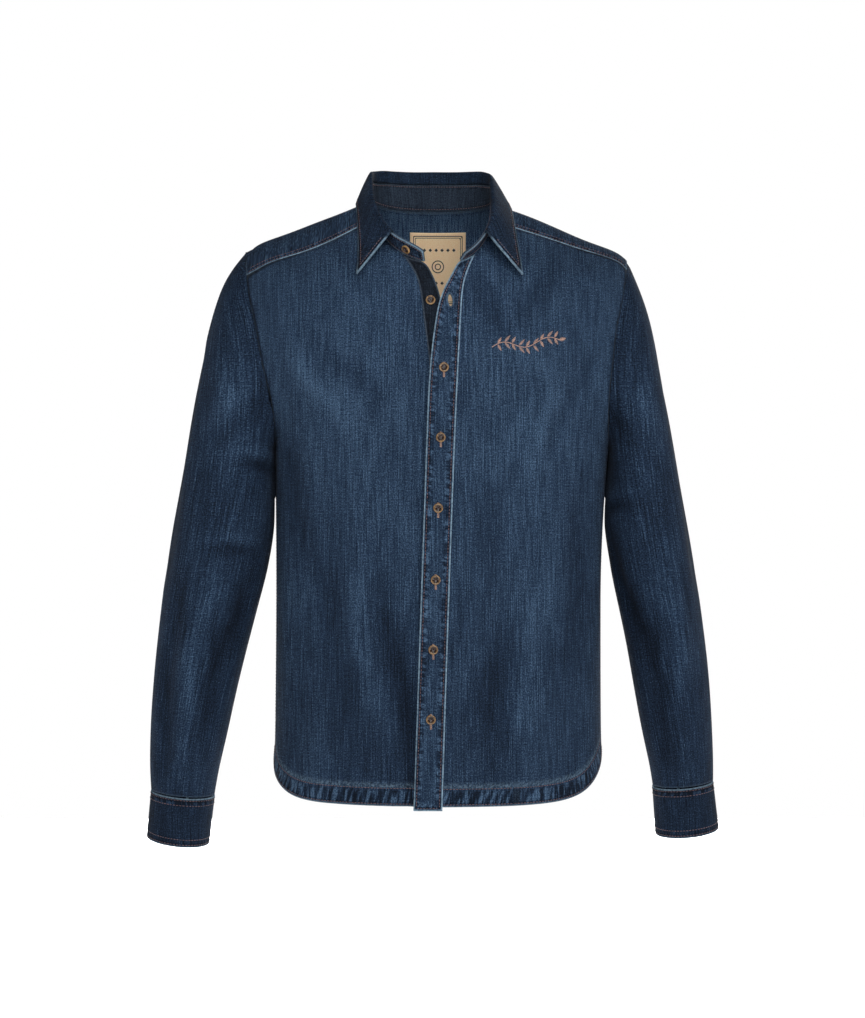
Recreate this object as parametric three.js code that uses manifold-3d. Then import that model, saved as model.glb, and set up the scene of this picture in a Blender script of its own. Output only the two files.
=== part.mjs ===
// A man's long sleeved denim shirt, filled out as worn, open at the neck.
// Millimetres, +Z up. The front faces -Y and the wearer's left is +X.
// The origin lies between the shoulders at the height of the neck points, where the wearer holds it up.

import * as THREE from 'three';
import { mergeVertices } from 'three/addons/utils/BufferGeometryUtils.js';
import Module from 'manifold-3d';

const wasm = await Module();
wasm.setup();

// Cloth
const CLOTH = 1.6; // wall of one layer of denim
const HEM_CLOTH = 2.8; // wall where the hem is turned up
const BAND_CLOTH = 1.5; // wall of the placket and the button band
const STAND_CLOTH = 1.2; // each of the two layers of the collar stand
const LEAF_CLOTH = 2.2; // both layers of the folded collar
const CUFF_CLOTH = 2.6; // both layers of a cuff
const LABEL_CLOTH = 1.0;
const SEAM = 0.2; // each piece stops this far short of its seam
const PANEL_GAP = 0.3; // the fronts and the back, which are thicker at the hem
const SLEEVE_GAP = 0.5; // a sleeve stops this far short of the armhole
const LAY = 0.5; // air between a piece and what lies on it

// Buttons
const BUTTON_RADIUS = 5.4;
const SMALL_BUTTON_RADIUS = 4.8; // on the sleeve plackets
const BUTTON_TALL = 2.4;
const BUTTON_SIDES = 14;
const BUTTON_LIFT = 0.5; // each stands this far off its cloth, on its thread

// Body
const HEM_Z = -691; // the front hem at the middle, level 0
const SIDE_OPEN = 60; // the side seams end this far above the hem
const HEM_TALL = 20;
const ARMPIT = 401; // level of the armpit
const NECK = 775; // level of the neck seam
const YOKE_NECK_ANGLE = 70; // where the front yoke seam meets the neck seam
const YOKE_BACK_ANGLE = 120; // the neck seam behind this angle belongs to the middle of the yoke

// Steps along the armhole, from the armpit to the shoulder point, at which the yoke seams meet it
const FRONT_CORNER_RIGHT = 0.81;
const FRONT_CORNER_LEFT = 0.88;
const BACK_CORNER = 0.76;

// Grid steps
const SIDE_STEPS = 11;
const ARMHOLE_STEPS = 10;
const BACK_ARMHOLE_STEPS = 8;
const SHOULDER_FRONT_STEPS = 3;
const SHOULDER_BACK_STEPS = 4;
const NECK_ANGLES_RIGHT = [33, 39, 47, 57, YOKE_NECK_ANGLE];
const NECK_ANGLES_LEFT = [35, 41, 48, 57, YOKE_NECK_ANGLE];
const NECK_STEPS = NECK_ANGLES_RIGHT.length;
const PANEL_COLUMNS = 10;
const BACK_COLUMNS = 20;
const BAND_COLUMNS = 3;

// Reads each column of a short table as a smooth function of its first column.
function table(columns, rows) {
  const keys = rows.map((row) => row[0]);
  const read = {};
  columns.slice(1).forEach((name, i) => {
    const values = rows.map((row) => row[i + 1]);
    const slopes = slopesOf(keys, values);
    read[name] = (key) => between(keys, values, slopes, key);
  });
  return read;
}

// Slopes that never make a column swing past its own rows.
function slopesOf(keys, values) {
  const rise = keys.slice(1).map((key, i) => (values[i + 1] - values[i]) / (key - keys[i]));
  return keys.map((key, i) => {
    if (i === 0) return rise[0];
    if (i === keys.length - 1) return rise[i - 1];
    if (rise[i - 1] * rise[i] <= 0) return 0;
    return 2 * rise[i - 1] * rise[i] / (rise[i - 1] + rise[i]);
  });
}

function between(keys, values, slopes, key) {
  const last = keys.length - 1;
  if (key <= keys[0]) return values[0] + slopes[0] * (key - keys[0]);
  if (key >= keys[last]) return values[last] + slopes[last] * (key - keys[last]);
  let i = 0;
  while (key > keys[i + 1]) i += 1;
  const span = keys[i + 1] - keys[i];
  const t = (key - keys[i]) / span;
  const a = values[i] * (1 + 2 * t) * (1 - t) ** 2;
  const b = values[i + 1] * t * t * (3 - 2 * t);
  const c = slopes[i] * span * t * (1 - t) ** 2;
  const d = slopes[i + 1] * span * t * t * (t - 1);
  return a + b + c + d;
}

const mix = (a, b, t) => a + (b - a) * t;
const smoothstep = (low, high, x) => THREE.MathUtils.smoothstep(x, low, high);
const steps = (count) => Array.from({ length: count + 1 }, (_, i) => i / count);

// The body form: loops around the body from the hem to the neck.
// Up to the armpit the level is the height above the hem; from there each loop climbs over the shoulders.
// Columns: half widths and heights at the wearer's right and left, depths and heights at front and back.
const FORM = table(
  [
    'level', 'halfRight', 'halfLeft', 'front', 'back', 'rightZ', 'leftZ', 'frontZ', 'backZ',
    'sideY', 'middle', 'square',
  ],
  [
    [-10, 189.5, 189.5, 124, 113, -701, -701, -701, -701, 0, 0, 2.4],
    [32, 191.5, 191.5, 123.5, 113.5, -659, -659, -659, -659, 0, 0, 2.4],
    [64, 189, 189, 123, 113, -627, -627, -627, -627, 0, 0, 2.4],
    [160, 188, 188.5, 121, 111, -531, -531, -531, -531, 0, 0, 2.4],
    [240, 187.5, 188.5, 121, 110, -451, -451, -451, -451, 0, 0, 2.4],
    [320, 187.8, 191.3, 124, 113, -371, -371, -371, -371, 0, 0, 2.4],
    [401, 189.2, 198, 126, 118, -290, -290, -290, -290, 0, 0, 2.4],
    [500, 226, 223, 121, 117, -180, -181, -197, -190, 0, 0, 2.4],
    [565, 235, 229, 114, 113, -115, -121, -150, -135, 0, 0, 2.4],
    [625, 222.5, 218.5, 105, 104, -58, -68, -118, -92, 0, 0, 2.4],
    [680, 167, 164, 98, 90, -34, -42, -102, -55, 4, -1, 2.35],
    [730, 110, 108.5, 92, 74, -12, -16.5, -90, -26, 7, -3, 2.3],
    [775, 73, 70.5, 87, 58, 1, -3, -80, -8, 8, -5.5, 2.3],
  ],
);
const FALL = 1.1; // how a loop drops from its sides to its front and back
const NECK_TURN = 7; // the open neck is turned this far to the wearer's left at the front

// The armhole: angle around the body and level, from the armpit to the shoulder point.
const ARMHOLE_FRONT = table(
  ['step', 'angle', 'level'],
  [
    [0, 90, 401],
    [0.06, 84, 404],
    [0.16, 74, 422],
    [0.34, 63, 465],
    [0.48, 61, 500],
    [0.6, 60.5, 545],
    [0.71, 66, 577],
    [0.83, 73, 607],
    [0.92, 82, 620],
    [1, 90, 625],
  ],
);
const ARMHOLE_BACK = table(
  ['step', 'angle', 'level'],
  [
    [0, 90, 401],
    [0.06, 95, 404],
    [0.17, 104, 422],
    [0.35, 113, 465],
    [0.5, 115, 500],
    [0.66, 115, 548],
    [0.76, 112, 583],
    [0.88, 104, 610],
    [0.95, 97, 621],
    [1, 90, 625],
  ],
);

// The front yoke seam, as an angle at each level.
const YOKE_SEAM = table(
  ['level', 'right', 'left'],
  [
    [602, 72, 79],
    [614, 66, 78],
    [628, 63.5, 76.5],
    [640, 62.7, 75],
    [680, 62, 73],
    [742, 67, 70],
    [NECK, YOKE_NECK_ANGLE, YOKE_NECK_ANGLE],
  ],
);

// Height of the hem above its middle, by angle from the front or from the back.
const HEM = table(
  ['angle', 'right', 'left'],
  [
    [0, 0, 0],
    [20, 1, 0.5],
    [40, 3, 3],
    [54, 6, 9],
    [65, 13, 20],
    [75, 24, 36],
    [82, 34, 46],
    [87, 46, 54],
    [90, 60, 60],
  ],
);

// Where the front edges run, as X at each level.
const PLACKET_EDGES = table(
  ['level', 'inner', 'outer'],
  [
    [0, -26.2, 3.3],
    [400, -12.3, 17],
    [486, -9.2, 20.7],
    [547, -4.1, 23.2],
    [600, 0.5, 24.8],
    [660, 9.5, 26.9],
    [720, 17.5, 31.5],
    [775, 24.6, 41],
  ],
);
const BUTTON_BAND_EDGES = table(
  ['level', 'outer', 'inner'],
  [
    [0, -22.7, 1],
    [430, -8.5, 15.5],
    [505, -9.2, 14.5],
    [570, -16.3, 7.6],
    [630, -19.3, 2.4],
    [680, -22.3, -2.6],
    [730, -28, -8.7],
    [775, -41, -15],
  ],
);
const UNDERLAP = 5.3; // the right front lies this far inside the left one where they cross
const UNDERLAP_ENDS = [600, 720]; // levels between which the fronts part
const UNDERLAP_FADE = 70; // the right front comes out again over this width

// The largest folds of the body: soft ridges (+) and troughs (-) that run up and down.
// Each has its angle, the level of its middle, its half width in degrees, its half length, its height and its
// lean in degrees over that length.
const BODY_FOLDS = [
  { angle: -32, level: 190, wide: 7, long: 190, high: 2.0, lean: 4 },
  { angle: -48, level: 150, wide: 6, long: 150, high: -2.2, lean: 6 },
  { angle: -63, level: 230, wide: 6, long: 130, high: 2.4, lean: 10 },
  { angle: 36, level: 170, wide: 7, long: 170, high: -2.0, lean: -4 },
  { angle: 50, level: 210, wide: 6, long: 160, high: 2.2, lean: -8 },
  { angle: 66, level: 240, wide: 6, long: 120, high: -2.2, lean: -10 },
  { angle: -58, level: 430, wide: 6, long: 70, high: -2.4, lean: 12 },
  { angle: 57, level: 430, wide: 6, long: 70, high: -2.4, lean: -12 },
  { angle: 180, level: 300, wide: 9, long: 200, high: -2.5, lean: 0 },
  { angle: 157, level: 260, wide: 7, long: 190, high: 2.4, lean: 5 },
  { angle: -156, level: 280, wide: 7, long: 180, high: 2.4, lean: -5 },
  { angle: 128, level: 200, wide: 7, long: 160, high: -2.2, lean: -6 },
  { angle: -130, level: 220, wide: 7, long: 160, high: -2.2, lean: 6 },
];

// A smooth hump, 1 in the middle and 0 from one unit away.
const hump = (x) => (Math.abs(x) < 1 ? (1 - x * x) ** 2 : 0);

function foldsAt(angle, level) {
  return BODY_FOLDS.reduce((sum, fold) => {
    const along = (level - fold.level) / fold.long;
    const around = THREE.MathUtils.euclideanModulo(angle - fold.angle - fold.lean * along + 180, 360) - 180;
    return sum + fold.high * hump(along) * hump(around / fold.wide);
  }, 0);
}

// The point of the bare form at an angle (0 front, 90 the wearer's left, 180 back) and a level.
function onForm(angle, level) {
  const turn = THREE.MathUtils.degToRad(angle);
  const across = Math.sin(turn);
  const ahead = Math.cos(turn);
  const side = across < 0 ? 'Right' : 'Left';
  const power = 2 / FORM.square(level);
  const open = smoothstep(625, NECK, level);
  const middle = FORM.middle(level) + NECK_TURN * open * Math.max(0, ahead) ** 2;
  const x = middle + Math.sign(across) * FORM[`half${side}`](level) * Math.abs(across) ** power;
  const endY = ahead > 0 ? -FORM.front(level) : FORM.back(level);
  const endZ = ahead > 0 ? FORM.frontZ(level) : FORM.backZ(level);
  const sideZ = side === 'Right' ? FORM.rightZ(level) : FORM.leftZ(level);
  const y = mix(FORM.sideY(level), endY, Math.abs(ahead) ** power);
  const z = mix(sideZ, endZ, Math.abs(ahead) ** FALL);
  return new THREE.Vector3(x, y, z);
}

function formNormal(angle, level) {
  const around = onForm(angle + 1, level).sub(onForm(angle - 1, level));
  const up = onForm(angle, level + 3).sub(onForm(angle, level - 3));
  return around.cross(up).normalize();
}

// A point of the cloth, moved out from the form.
function skin(angle, level, out = 0) {
  const lift = out + foldsAt(angle, level);
  return onForm(angle, level).addScaledVector(formNormal(angle, level), lift);
}

// The angle at which a level of the front passes a given X.
function angleAtX(x, level, from = -60, to = 60) {
  let low = from;
  let high = to;
  for (let i = 0; i < 40; i += 1) {
    const angle = (low + high) / 2;
    if (onForm(angle, level).x < x) low = angle;
    else high = angle;
  }
  return (low + high) / 2;
}

// Fills a patch between four rows of [angle, level] places that meet at their ends.
function patch(bottom, top, left, right) {
  const across = bottom.length - 1;
  const up = left.length - 1;
  return left.map((_, j) => bottom.map((__, i) => [0, 1].map((k) => {
    const u = i / across;
    const v = j / up;
    const rows = mix(bottom[i][k], top[i][k], v);
    const columns = mix(left[j][k], right[j][k], u);
    const corners = mix(mix(bottom[0][k], bottom[across][k], u), mix(top[0][k], top[across][k], u), v);
    return rows + columns - corners;
  })));
}

// The quads of a grid whose points start at a given index; closed grids wrap around.
function gridQuads(rows, columns, start = 0, closed = false) {
  const quads = [];
  for (let j = 0; j < rows; j += 1) {
    for (let i = 0; i < columns; i += 1) {
      const wide = closed ? columns : columns + 1;
      const next = closed ? (i + 1) % columns : i + 1;
      const a = start + j * wide + i;
      const b = start + j * wide + next;
      quads.push([a, b, b + wide, a + wide]);
    }
  }
  return quads;
}

// Turns quads so that they face away from a point inside the cloth's curve.
function facingAwayFrom(inside, points, quads) {
  const sum = quads.reduce((total, quad) => {
    const corners = quad.map((i) => points[i]);
    const middle = corners.reduce((m, p) => m.add(p), new THREE.Vector3()).divideScalar(4);
    const one = corners[2].clone().sub(corners[0]);
    const two = corners[3].clone().sub(corners[1]);
    return total + one.cross(two).dot(middle.sub(inside));
  }, 0);
  return sum > 0 ? quads : quads.map((quad) => [...quad].reverse());
}

function normalsOf(points, quads) {
  const normals = points.map(() => new THREE.Vector3());
  quads.forEach((quad) => {
    const one = points[quad[2]].clone().sub(points[quad[0]]);
    const two = points[quad[3]].clone().sub(points[quad[1]]);
    const facing = one.cross(two);
    quad.forEach((i) => normals[i].add(facing));
  });
  return normals.map((normal) => normal.normalize());
}

// The edges that only one quad has, each in that quad's direction.
function freeEdges(quads) {
  const seen = new Map();
  quads.forEach((quad) => quad.forEach((a, i) => {
    const b = quad[(i + 1) % 4];
    const name = a < b ? `${a} ${b}` : `${b} ${a}`;
    seen.set(name, seen.has(name) ? null : [a, b]);
  }));
  return [...seen.values()].filter((edge) => edge);
}

// Draws the free edges of a sheet in a little, so that it stops short of its seams.
function drawnIn(points, quads, gap) {
  const pull = new Map();
  freeEdges(quads).flat().forEach((i) => pull.set(i, new THREE.Vector3()));
  quads.forEach((quad) => {
    const middle = quad.reduce((m, i) => m.add(points[i]), new THREE.Vector3()).divideScalar(4);
    quad.filter((i) => pull.has(i)).forEach((i) => pull.get(i).add(middle.clone().sub(points[i])));
  });
  return points.map((point, i) => {
    const moved = point.clone();
    if (pull.has(i)) moved.addScaledVector(pull.get(i).normalize(), gap);
    return moved;
  });
}

// A closed wall of cloth: a sheet, the sheet moved in by its thickness, and a strip along each free edge.
function wall(points, quads, thickness, { inside, gap = SEAM, normals } = {}) {
  const faced = inside ? facingAwayFrom(inside, points, quads) : quads;
  const outer = drawnIn(points, faced, gap);
  const across = normals ?? normalsOf(outer, faced);
  const thick = typeof thickness === 'function' ? thickness : () => thickness;
  const inner = outer.map((point, i) => point.clone().addScaledVector(across[i], -thick(i)));
  const corners = [...outer, ...inner];
  const count = outer.length;
  const triangles = [];
  faced.forEach(([a, b, c, d]) => {
    triangles.push([a, b, c], [a, c, d]);
    triangles.push([a + count, c + count, b + count], [a + count, d + count, c + count]);
  });
  freeEdges(faced).forEach(([a, b]) => {
    triangles.push([b, a, a + count], [b, a + count, b + count]);
  });
  return solid(corners, triangles);
}

function solid(corners, triangles) {
  const geometry = new THREE.BufferGeometry();
  const places = corners.flatMap((corner) => corner.toArray());
  geometry.setAttribute('position', new THREE.Float32BufferAttribute(places, 3));
  geometry.setIndex(triangles.flat());
  return geometry;
}

// Lists a grid of places row by row as points of the cloth.
function laidOut(grid, out = () => 0) {
  return grid.flat().map(([angle, level]) => skin(angle, level, out(angle, level)));
}

const DENIM = { color: 0x2b3c50, roughness: 0.9 };
const DARK_DENIM = { color: 0x20262f, roughness: 0.9 };
const LABEL = { color: 0xb09577, roughness: 0.85 };
const HORN = { color: 0x7a5a3c, roughness: 0.35 };

const shirt = new THREE.Group();

function add(name, geometry, look) {
  const material = new THREE.MeshStandardMaterial({ ...look, metalness: 0, side: THREE.DoubleSide });
  const mesh = new THREE.Mesh(geometry, material);
  mesh.name = name;
  shirt.add(mesh);
  return mesh;
}

const CORE = new THREE.Vector3(0, 0, -400);

// Levels of the rows of a panel: the hem fold first, then even rows.
function panelLevels(bottom, top, count) {
  const above = bottom + HEM_TALL;
  const even = steps(count - 2).map((t) => mix(above + 1.5, top, t));
  return [bottom, above, ...even];
}

const sideSeam = (sign) => panelLevels(SIDE_OPEN, ARMPIT, SIDE_STEPS).map((level) => [sign * 90, level]);

function armhole(part, sign, from, to, count) {
  return steps(count).map((t) => {
    const step = mix(from, to, t);
    return [sign * part.angle(step), part.level(step)];
  });
}

const sideName = (sign) => (sign < 0 ? 'right' : 'left');
const frontCorner = (sign) => (sign < 0 ? FRONT_CORNER_RIGHT : FRONT_CORNER_LEFT);
const neckAngles = (sign) => (sign < 0 ? NECK_ANGLES_RIGHT : NECK_ANGLES_LEFT);

// The front yoke seam, from the armhole to the neck.
function frontYokeSeam(sign) {
  const corner = [sign * ARMHOLE_FRONT.angle(frontCorner(sign)), ARMHOLE_FRONT.level(frontCorner(sign))];
  const rest = steps(PANEL_COLUMNS).slice(1).map((t) => {
    const level = mix(corner[1], NECK, t);
    return [sign * YOKE_SEAM[sideName(sign)](level), level];
  });
  return [corner, ...rest];
}

// A front: the panel out to the side and armhole, and the strip along its edge that carries a band.
function frontPanel(sign, edges, out) {
  const column = sideName(sign);
  const rising = armhole(ARMHOLE_FRONT, sign, 0, frontCorner(sign), ARMHOLE_STEPS).slice(1);
  const outer = [...sideSeam(sign), ...rising];
  const edgeRows = outer.length - 1 - NECK_STEPS;
  const edgeLevels = panelLevels(0, NECK, edgeRows);
  const seamAngles = edgeLevels.map((level) => angleAtX(edges.outer(level), level));
  const neck = neckAngles(sign).map((angle) => [sign * angle, NECK]);
  const inner = [...edgeLevels.map((level, j) => [seamAngles[j], level]), ...neck];
  const hem = steps(PANEL_COLUMNS).map((t) => {
    const angle = mix(sign * 90, seamAngles[0], t ** 1.25);
    return [angle, HEM[column](Math.abs(angle))];
  });
  hem[PANEL_COLUMNS] = inner[0];
  const main = patch(hem, frontYokeSeam(sign), outer, inner);
  const strip = edgeLevels.map((level, j) => steps(BAND_COLUMNS).map((t) => {
    const x = mix(edges.outer(level), edges.inner(level), t);
    return [angleAtX(x, level), level];
  }));
  const points = laidOut(main, out);
  const quads = gridQuads(outer.length - 1, PANEL_COLUMNS);
  const start = points.length;
  points.push(...laidOut(strip, out));
  const stripQuads = gridQuads(edgeRows, BAND_COLUMNS, start);
  // The strip's first column is the panel's last one.
  const shared = new Map();
  edgeLevels.forEach((_, j) => {
    shared.set(start + j * (BAND_COLUMNS + 1), j * (PANEL_COLUMNS + 1) + PANEL_COLUMNS);
  });
  const joined = stripQuads.map((quad) => quad.map((i) => shared.get(i) ?? i));
  const used = [...new Set([...quads, ...joined].flat())].sort((a, b) => a - b);
  const renumber = new Map(used.map((old, i) => [old, i]));
  const row = (old) => {
    const inStrip = old >= start;
    return inStrip ? Math.floor((old - start) / (BAND_COLUMNS + 1)) : Math.floor(old / (PANEL_COLUMNS + 1));
  };
  return {
    points: used.map((i) => points[i]),
    quads: [...quads, ...joined].map((quad) => quad.map((i) => renumber.get(i))),
    rowOf: used.map(row),
    neck: [...strip[edgeRows].reverse(), ...neck],
  };
}

const hemThickness = (panel) => (i) => (panel.rowOf[i] < 2 ? HEM_CLOTH : CLOTH);

// How far the right front lies inside the form at a place.
function underlap(angle, level) {
  const x = onForm(angle, level).x;
  const near = 1 - smoothstep(0, UNDERLAP_FADE, PLACKET_EDGES.inner(level) - x);
  const crossed = 1 - smoothstep(...UNDERLAP_ENDS, level);
  return -UNDERLAP * near * crossed;
}

function buildFronts() {
  const left = frontPanel(1, PLACKET_EDGES, () => 0);
  const right = frontPanel(-1, BUTTON_BAND_EDGES, underlap);
  return { left, right };
}
const fronts = buildFronts();

// The back, from the wearer's right side round to the left, where the angle is -270.
function backPanel() {
  const cornerAngle = ARMHOLE_BACK.angle(BACK_CORNER);
  const cornerLevel = ARMHOLE_BACK.level(BACK_CORNER);
  const rising = armhole(ARMHOLE_BACK, 1, 0, BACK_CORNER, BACK_ARMHOLE_STEPS).slice(1);
  const seam = panelLevels(SIDE_OPEN, ARMPIT, SIDE_STEPS).map((level) => [90, level]);
  const rightEdge = [...seam, ...rising].map(([angle, level]) => [-angle, level]);
  const leftEdge = [...seam, ...rising].map(([angle, level]) => [angle - 360, level]);
  const hem = steps(BACK_COLUMNS).map((t) => {
    const eased = t < 0.5 ? (2 * t) ** 1.15 / 2 : 1 - (2 - 2 * t) ** 1.15 / 2;
    const angle = mix(-90, -270, eased);
    const column = angle > -180 ? 'right' : 'left';
    return [angle, HEM[column](Math.abs(angle + 180))];
  });
  const top = steps(BACK_COLUMNS).map((t) => [mix(-cornerAngle, cornerAngle - 360, t), cornerLevel]);
  const points = laidOut(patch(hem, top, rightEdge, leftEdge));
  const rows = rightEdge.length - 1;
  const rowOf = points.map((_, i) => Math.floor(i / (BACK_COLUMNS + 1)));
  return { points, quads: gridQuads(rows, BACK_COLUMNS), rowOf };
}
const back = backPanel();
add('back', wall(back.points, back.quads, hemThickness(back), { inside: CORE, gap: PANEL_GAP }), DENIM);

// The yoke: a grid around the neck from one front seam to the other, its rows going from the neck outward.
function yokeGrid() {
  const arm = (sign) => [
    ...armhole(ARMHOLE_FRONT, sign, frontCorner(sign), 1, SHOULDER_FRONT_STEPS),
    ...armhole(ARMHOLE_BACK, sign, 1, BACK_CORNER, SHOULDER_BACK_STEPS).slice(1),
  ];
  const onLeft = ([angle, level]) => [angle - 360, level];
  const cornerAngle = ARMHOLE_BACK.angle(BACK_CORNER);
  const cornerLevel = ARMHOLE_BACK.level(BACK_CORNER);
  const across = steps(BACK_COLUMNS).map((t) => [mix(-cornerAngle, cornerAngle - 360, t), cornerLevel]);
  const outer = [...arm(-1), ...across.slice(1, -1), ...arm(1).reverse().map(onLeft)];
  const armSteps = SHOULDER_FRONT_STEPS + SHOULDER_BACK_STEPS;
  const neck = [
    ...steps(armSteps).map((t) => mix(-YOKE_NECK_ANGLE, -YOKE_BACK_ANGLE, t)),
    ...steps(BACK_COLUMNS).slice(1, -1).map((t) => mix(-YOKE_BACK_ANGLE, YOKE_BACK_ANGLE - 360, t)),
    ...steps(armSteps).map((t) => mix(YOKE_BACK_ANGLE - 360, YOKE_NECK_ANGLE - 360, t)),
  ].map((angle) => [angle, NECK]);
  return patch(neck, outer, frontYokeSeam(-1).reverse(), frontYokeSeam(1).reverse().map(onLeft));
}
const yoke = yokeGrid();
const yokeQuads = gridQuads(PANEL_COLUMNS, yoke[0].length - 1);
add('yoke', wall(laidOut(yoke), yokeQuads, CLOTH, { inside: CORE }), DENIM);

// Sleeves. Each row is a ring: its outer and inner points as seen from the front, its middle and half
// depth from front to back, and how far its front point dips. X grows away from the body on both sides.
const SLEEVE_COLUMNS = ['step', 'outerX', 'outerZ', 'innerX', 'innerZ', 'middleY', 'half', 'dip'];
const SLEEVE_RIGHT = table(SLEEVE_COLUMNS, [
  [0, 222.5, -58, 189.2, -290, 0, 60, 0],
  [1, 246.5, -90.5, 190.4, -297, 0, 66, 0],
  [2, 262, -135, 190.8, -306, 0, 70, 0],
  [3, 273.5, -185, 191, -319, 0, 72, 0],
  [4, 284.7, -240, 191.2, -340, 0, 71, 0],
  [5, 295.8, -300, 191.4, -372, -1, 69, 0],
  [6, 306, -362, 193.8, -413, -2, 67, 0],
  [7, 315, -425, 205.3, -460, -3, 64, 0],
  [8, 322.5, -488, 218.8, -512, -5, 60, 0],
  [9, 328.8, -550, 232.2, -566, -7, 54, 1],
  [10, 332.6, -608, 243.8, -620, -8, 48, 2],
  [11, 333.4, -650, 253, -659, -9, 43, 2],
  [12, 331.8, -681, 258, -688, -10, 38, 3],
]);
const SLEEVE_LEFT = table(SLEEVE_COLUMNS, [
  [0, 218.5, -68, 198, -290, 0, 60, 0],
  [1, 229, -92, 199.2, -297, 0, 66, 0],
  [2, 244.5, -135, 199, -306, 0, 69, 0],
  [3, 254.6, -185, 198.3, -319, 0, 71, 0],
  [4, 266, -240, 196.6, -340, 0, 70, 0],
  [5, 277.5, -300, 194.8, -372, -1, 68, 0],
  [6, 288.2, -362, 197.2, -413, -2, 66, 0],
  [7, 297.5, -425, 206.3, -460, -3, 63, 0],
  [8, 306.2, -488, 217.3, -512, -5, 59, 0],
  [9, 313.3, -550, 226.5, -566, -7, 53, 1],
  [10, 316.8, -608, 236.6, -620, -8, 47, 2],
  [11, 318.2, -650, 244.4, -655, -9, 42, 2],
  [12, 318, -670.5, 247.7, -677, -10, 38, 3],
]);
const CUFF_RIGHT = table(SLEEVE_COLUMNS, [
  [0, 332.2, -681.8, 257.6, -689, -10, 38.5, 3],
  [1, 336.9, -735, 264, -744, -12, 39.5, 4.5],
]);
const CUFF_LEFT = table(SLEEVE_COLUMNS, [
  [0, 318.4, -671.3, 247.3, -678, -10, 38.5, 3],
  [1, 324.6, -725.5, 250.8, -733, -12, 39.5, 4.5],
]);
const SLEEVE_ROWS = 22;
const SLEEVE_SECTIONS = 12;
const CAP_FADE = 5; // sections over which the armhole's own shape fades out
const ARMPIT_CLEAR = 1.9; // how far a sleeve stands clear of the body in the fold under the arm
const CUFF_COLUMNS_AROUND = 26;
const CUFF_START = -62; // turn of the cuff's outer end, on the back of the arm
const CUFF_LAP = 34; // the ends of a cuff lap by this many degrees
const PLACKET_COLUMNS = [16, 18]; // columns of the sleeve under its placket
const PLACKET_ROWS = 5;
const PLACKET_BUTTON_ROW = 3; // rows of the sleeve above the cuff
const CUFF_BUTTON_TURN = 13; // degrees in from the outer end of the cuff

// Folds of the sleeves: turn around the sleeve (0 outside, 90 front), section of the middle, half length
// in sections, half width in degrees, height, and how far they slant in degrees for each section.
const SLEEVE_FOLDS = {
  right: [
    { turn: 110, section: 6.4, long: 1.5, wide: 30, high: -3.2, slant: 22 },
    { turn: 60, section: 7.6, long: 1.6, wide: 26, high: 2.4, slant: 18 },
    { turn: 125, section: 8.4, long: 1.2, wide: 28, high: -3.0, slant: -20 },
    { turn: 70, section: 10.6, long: 1.2, wide: 22, high: -2.4, slant: 8 },
    { turn: 30, section: 4.2, long: 2.2, wide: 26, high: 2.2, slant: 6 },
    { turn: 120, section: 3.6, long: 1.8, wide: 24, high: -3.0, slant: -14 },
    { turn: -110, section: 6.8, long: 1.6, wide: 30, high: -3.0, slant: -20 },
    { turn: -80, section: 9.2, long: 1.6, wide: 26, high: 2.4, slant: 12 },
  ],
  left: [
    { turn: 105, section: 6.8, long: 1.5, wide: 30, high: -3.0, slant: 20 },
    { turn: 55, section: 7.4, long: 1.4, wide: 26, high: 2.2, slant: 16 },
    { turn: 115, section: 9.0, long: 1.3, wide: 28, high: -2.8, slant: -18 },
    { turn: 75, section: 10.8, long: 1.0, wide: 22, high: -2.4, slant: 6 },
    { turn: 35, section: 3.9, long: 2.2, wide: 26, high: 2.0, slant: 4 },
    { turn: 115, section: 3.9, long: 1.7, wide: 24, high: -2.8, slant: -12 },
    { turn: -105, section: 7.1, long: 1.6, wide: 30, high: -3.0, slant: -18 },
    { turn: -75, section: 9.6, long: 1.4, wide: 26, high: 2.4, slant: 10 },
  ],
};

function ringPoint(rings, sign, step, turn, out = 0) {
  const t = THREE.MathUtils.degToRad(turn);
  const outer = new THREE.Vector3(sign * rings.outerX(step), 0, rings.outerZ(step));
  const inner = new THREE.Vector3(sign * rings.innerX(step), 0, rings.innerZ(step));
  const radius = outer.clone().sub(inner).multiplyScalar(0.5);
  const long = radius.length();
  const point = outer.clone().add(inner).multiplyScalar(0.5);
  point.addScaledVector(radius, Math.cos(t) * (1 + out / long));
  point.y += rings.middleY(step) - (rings.half(step) + out) * Math.sin(t);
  point.z -= rings.dip(step) * Math.sin(t);
  return point;
}

// The armhole as a closed ring: up the front from the armpit to the shoulder point, and down the back.
function armholeRing(sign) {
  return [
    ...armhole(ARMHOLE_FRONT, sign, 0, frontCorner(sign), ARMHOLE_STEPS),
    ...armhole(ARMHOLE_FRONT, sign, frontCorner(sign), 1, SHOULDER_FRONT_STEPS).slice(1),
    ...armhole(ARMHOLE_BACK, sign, 1, BACK_CORNER, SHOULDER_BACK_STEPS).slice(1),
    ...armhole(ARMHOLE_BACK, sign, BACK_CORNER, 0, BACK_ARMHOLE_STEPS).slice(1, -1),
  ];
}

function sleeveFold(folds, section, turn) {
  return folds.reduce((sum, fold) => {
    const along = (section - fold.section) / fold.long;
    const away = turn - fold.turn - fold.slant * (section - fold.section);
    const around = THREE.MathUtils.euclideanModulo(away + 180, 360) - 180;
    return sum + fold.high * hump(along) * hump(around / fold.wide);
  }, 0);
}

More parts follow.
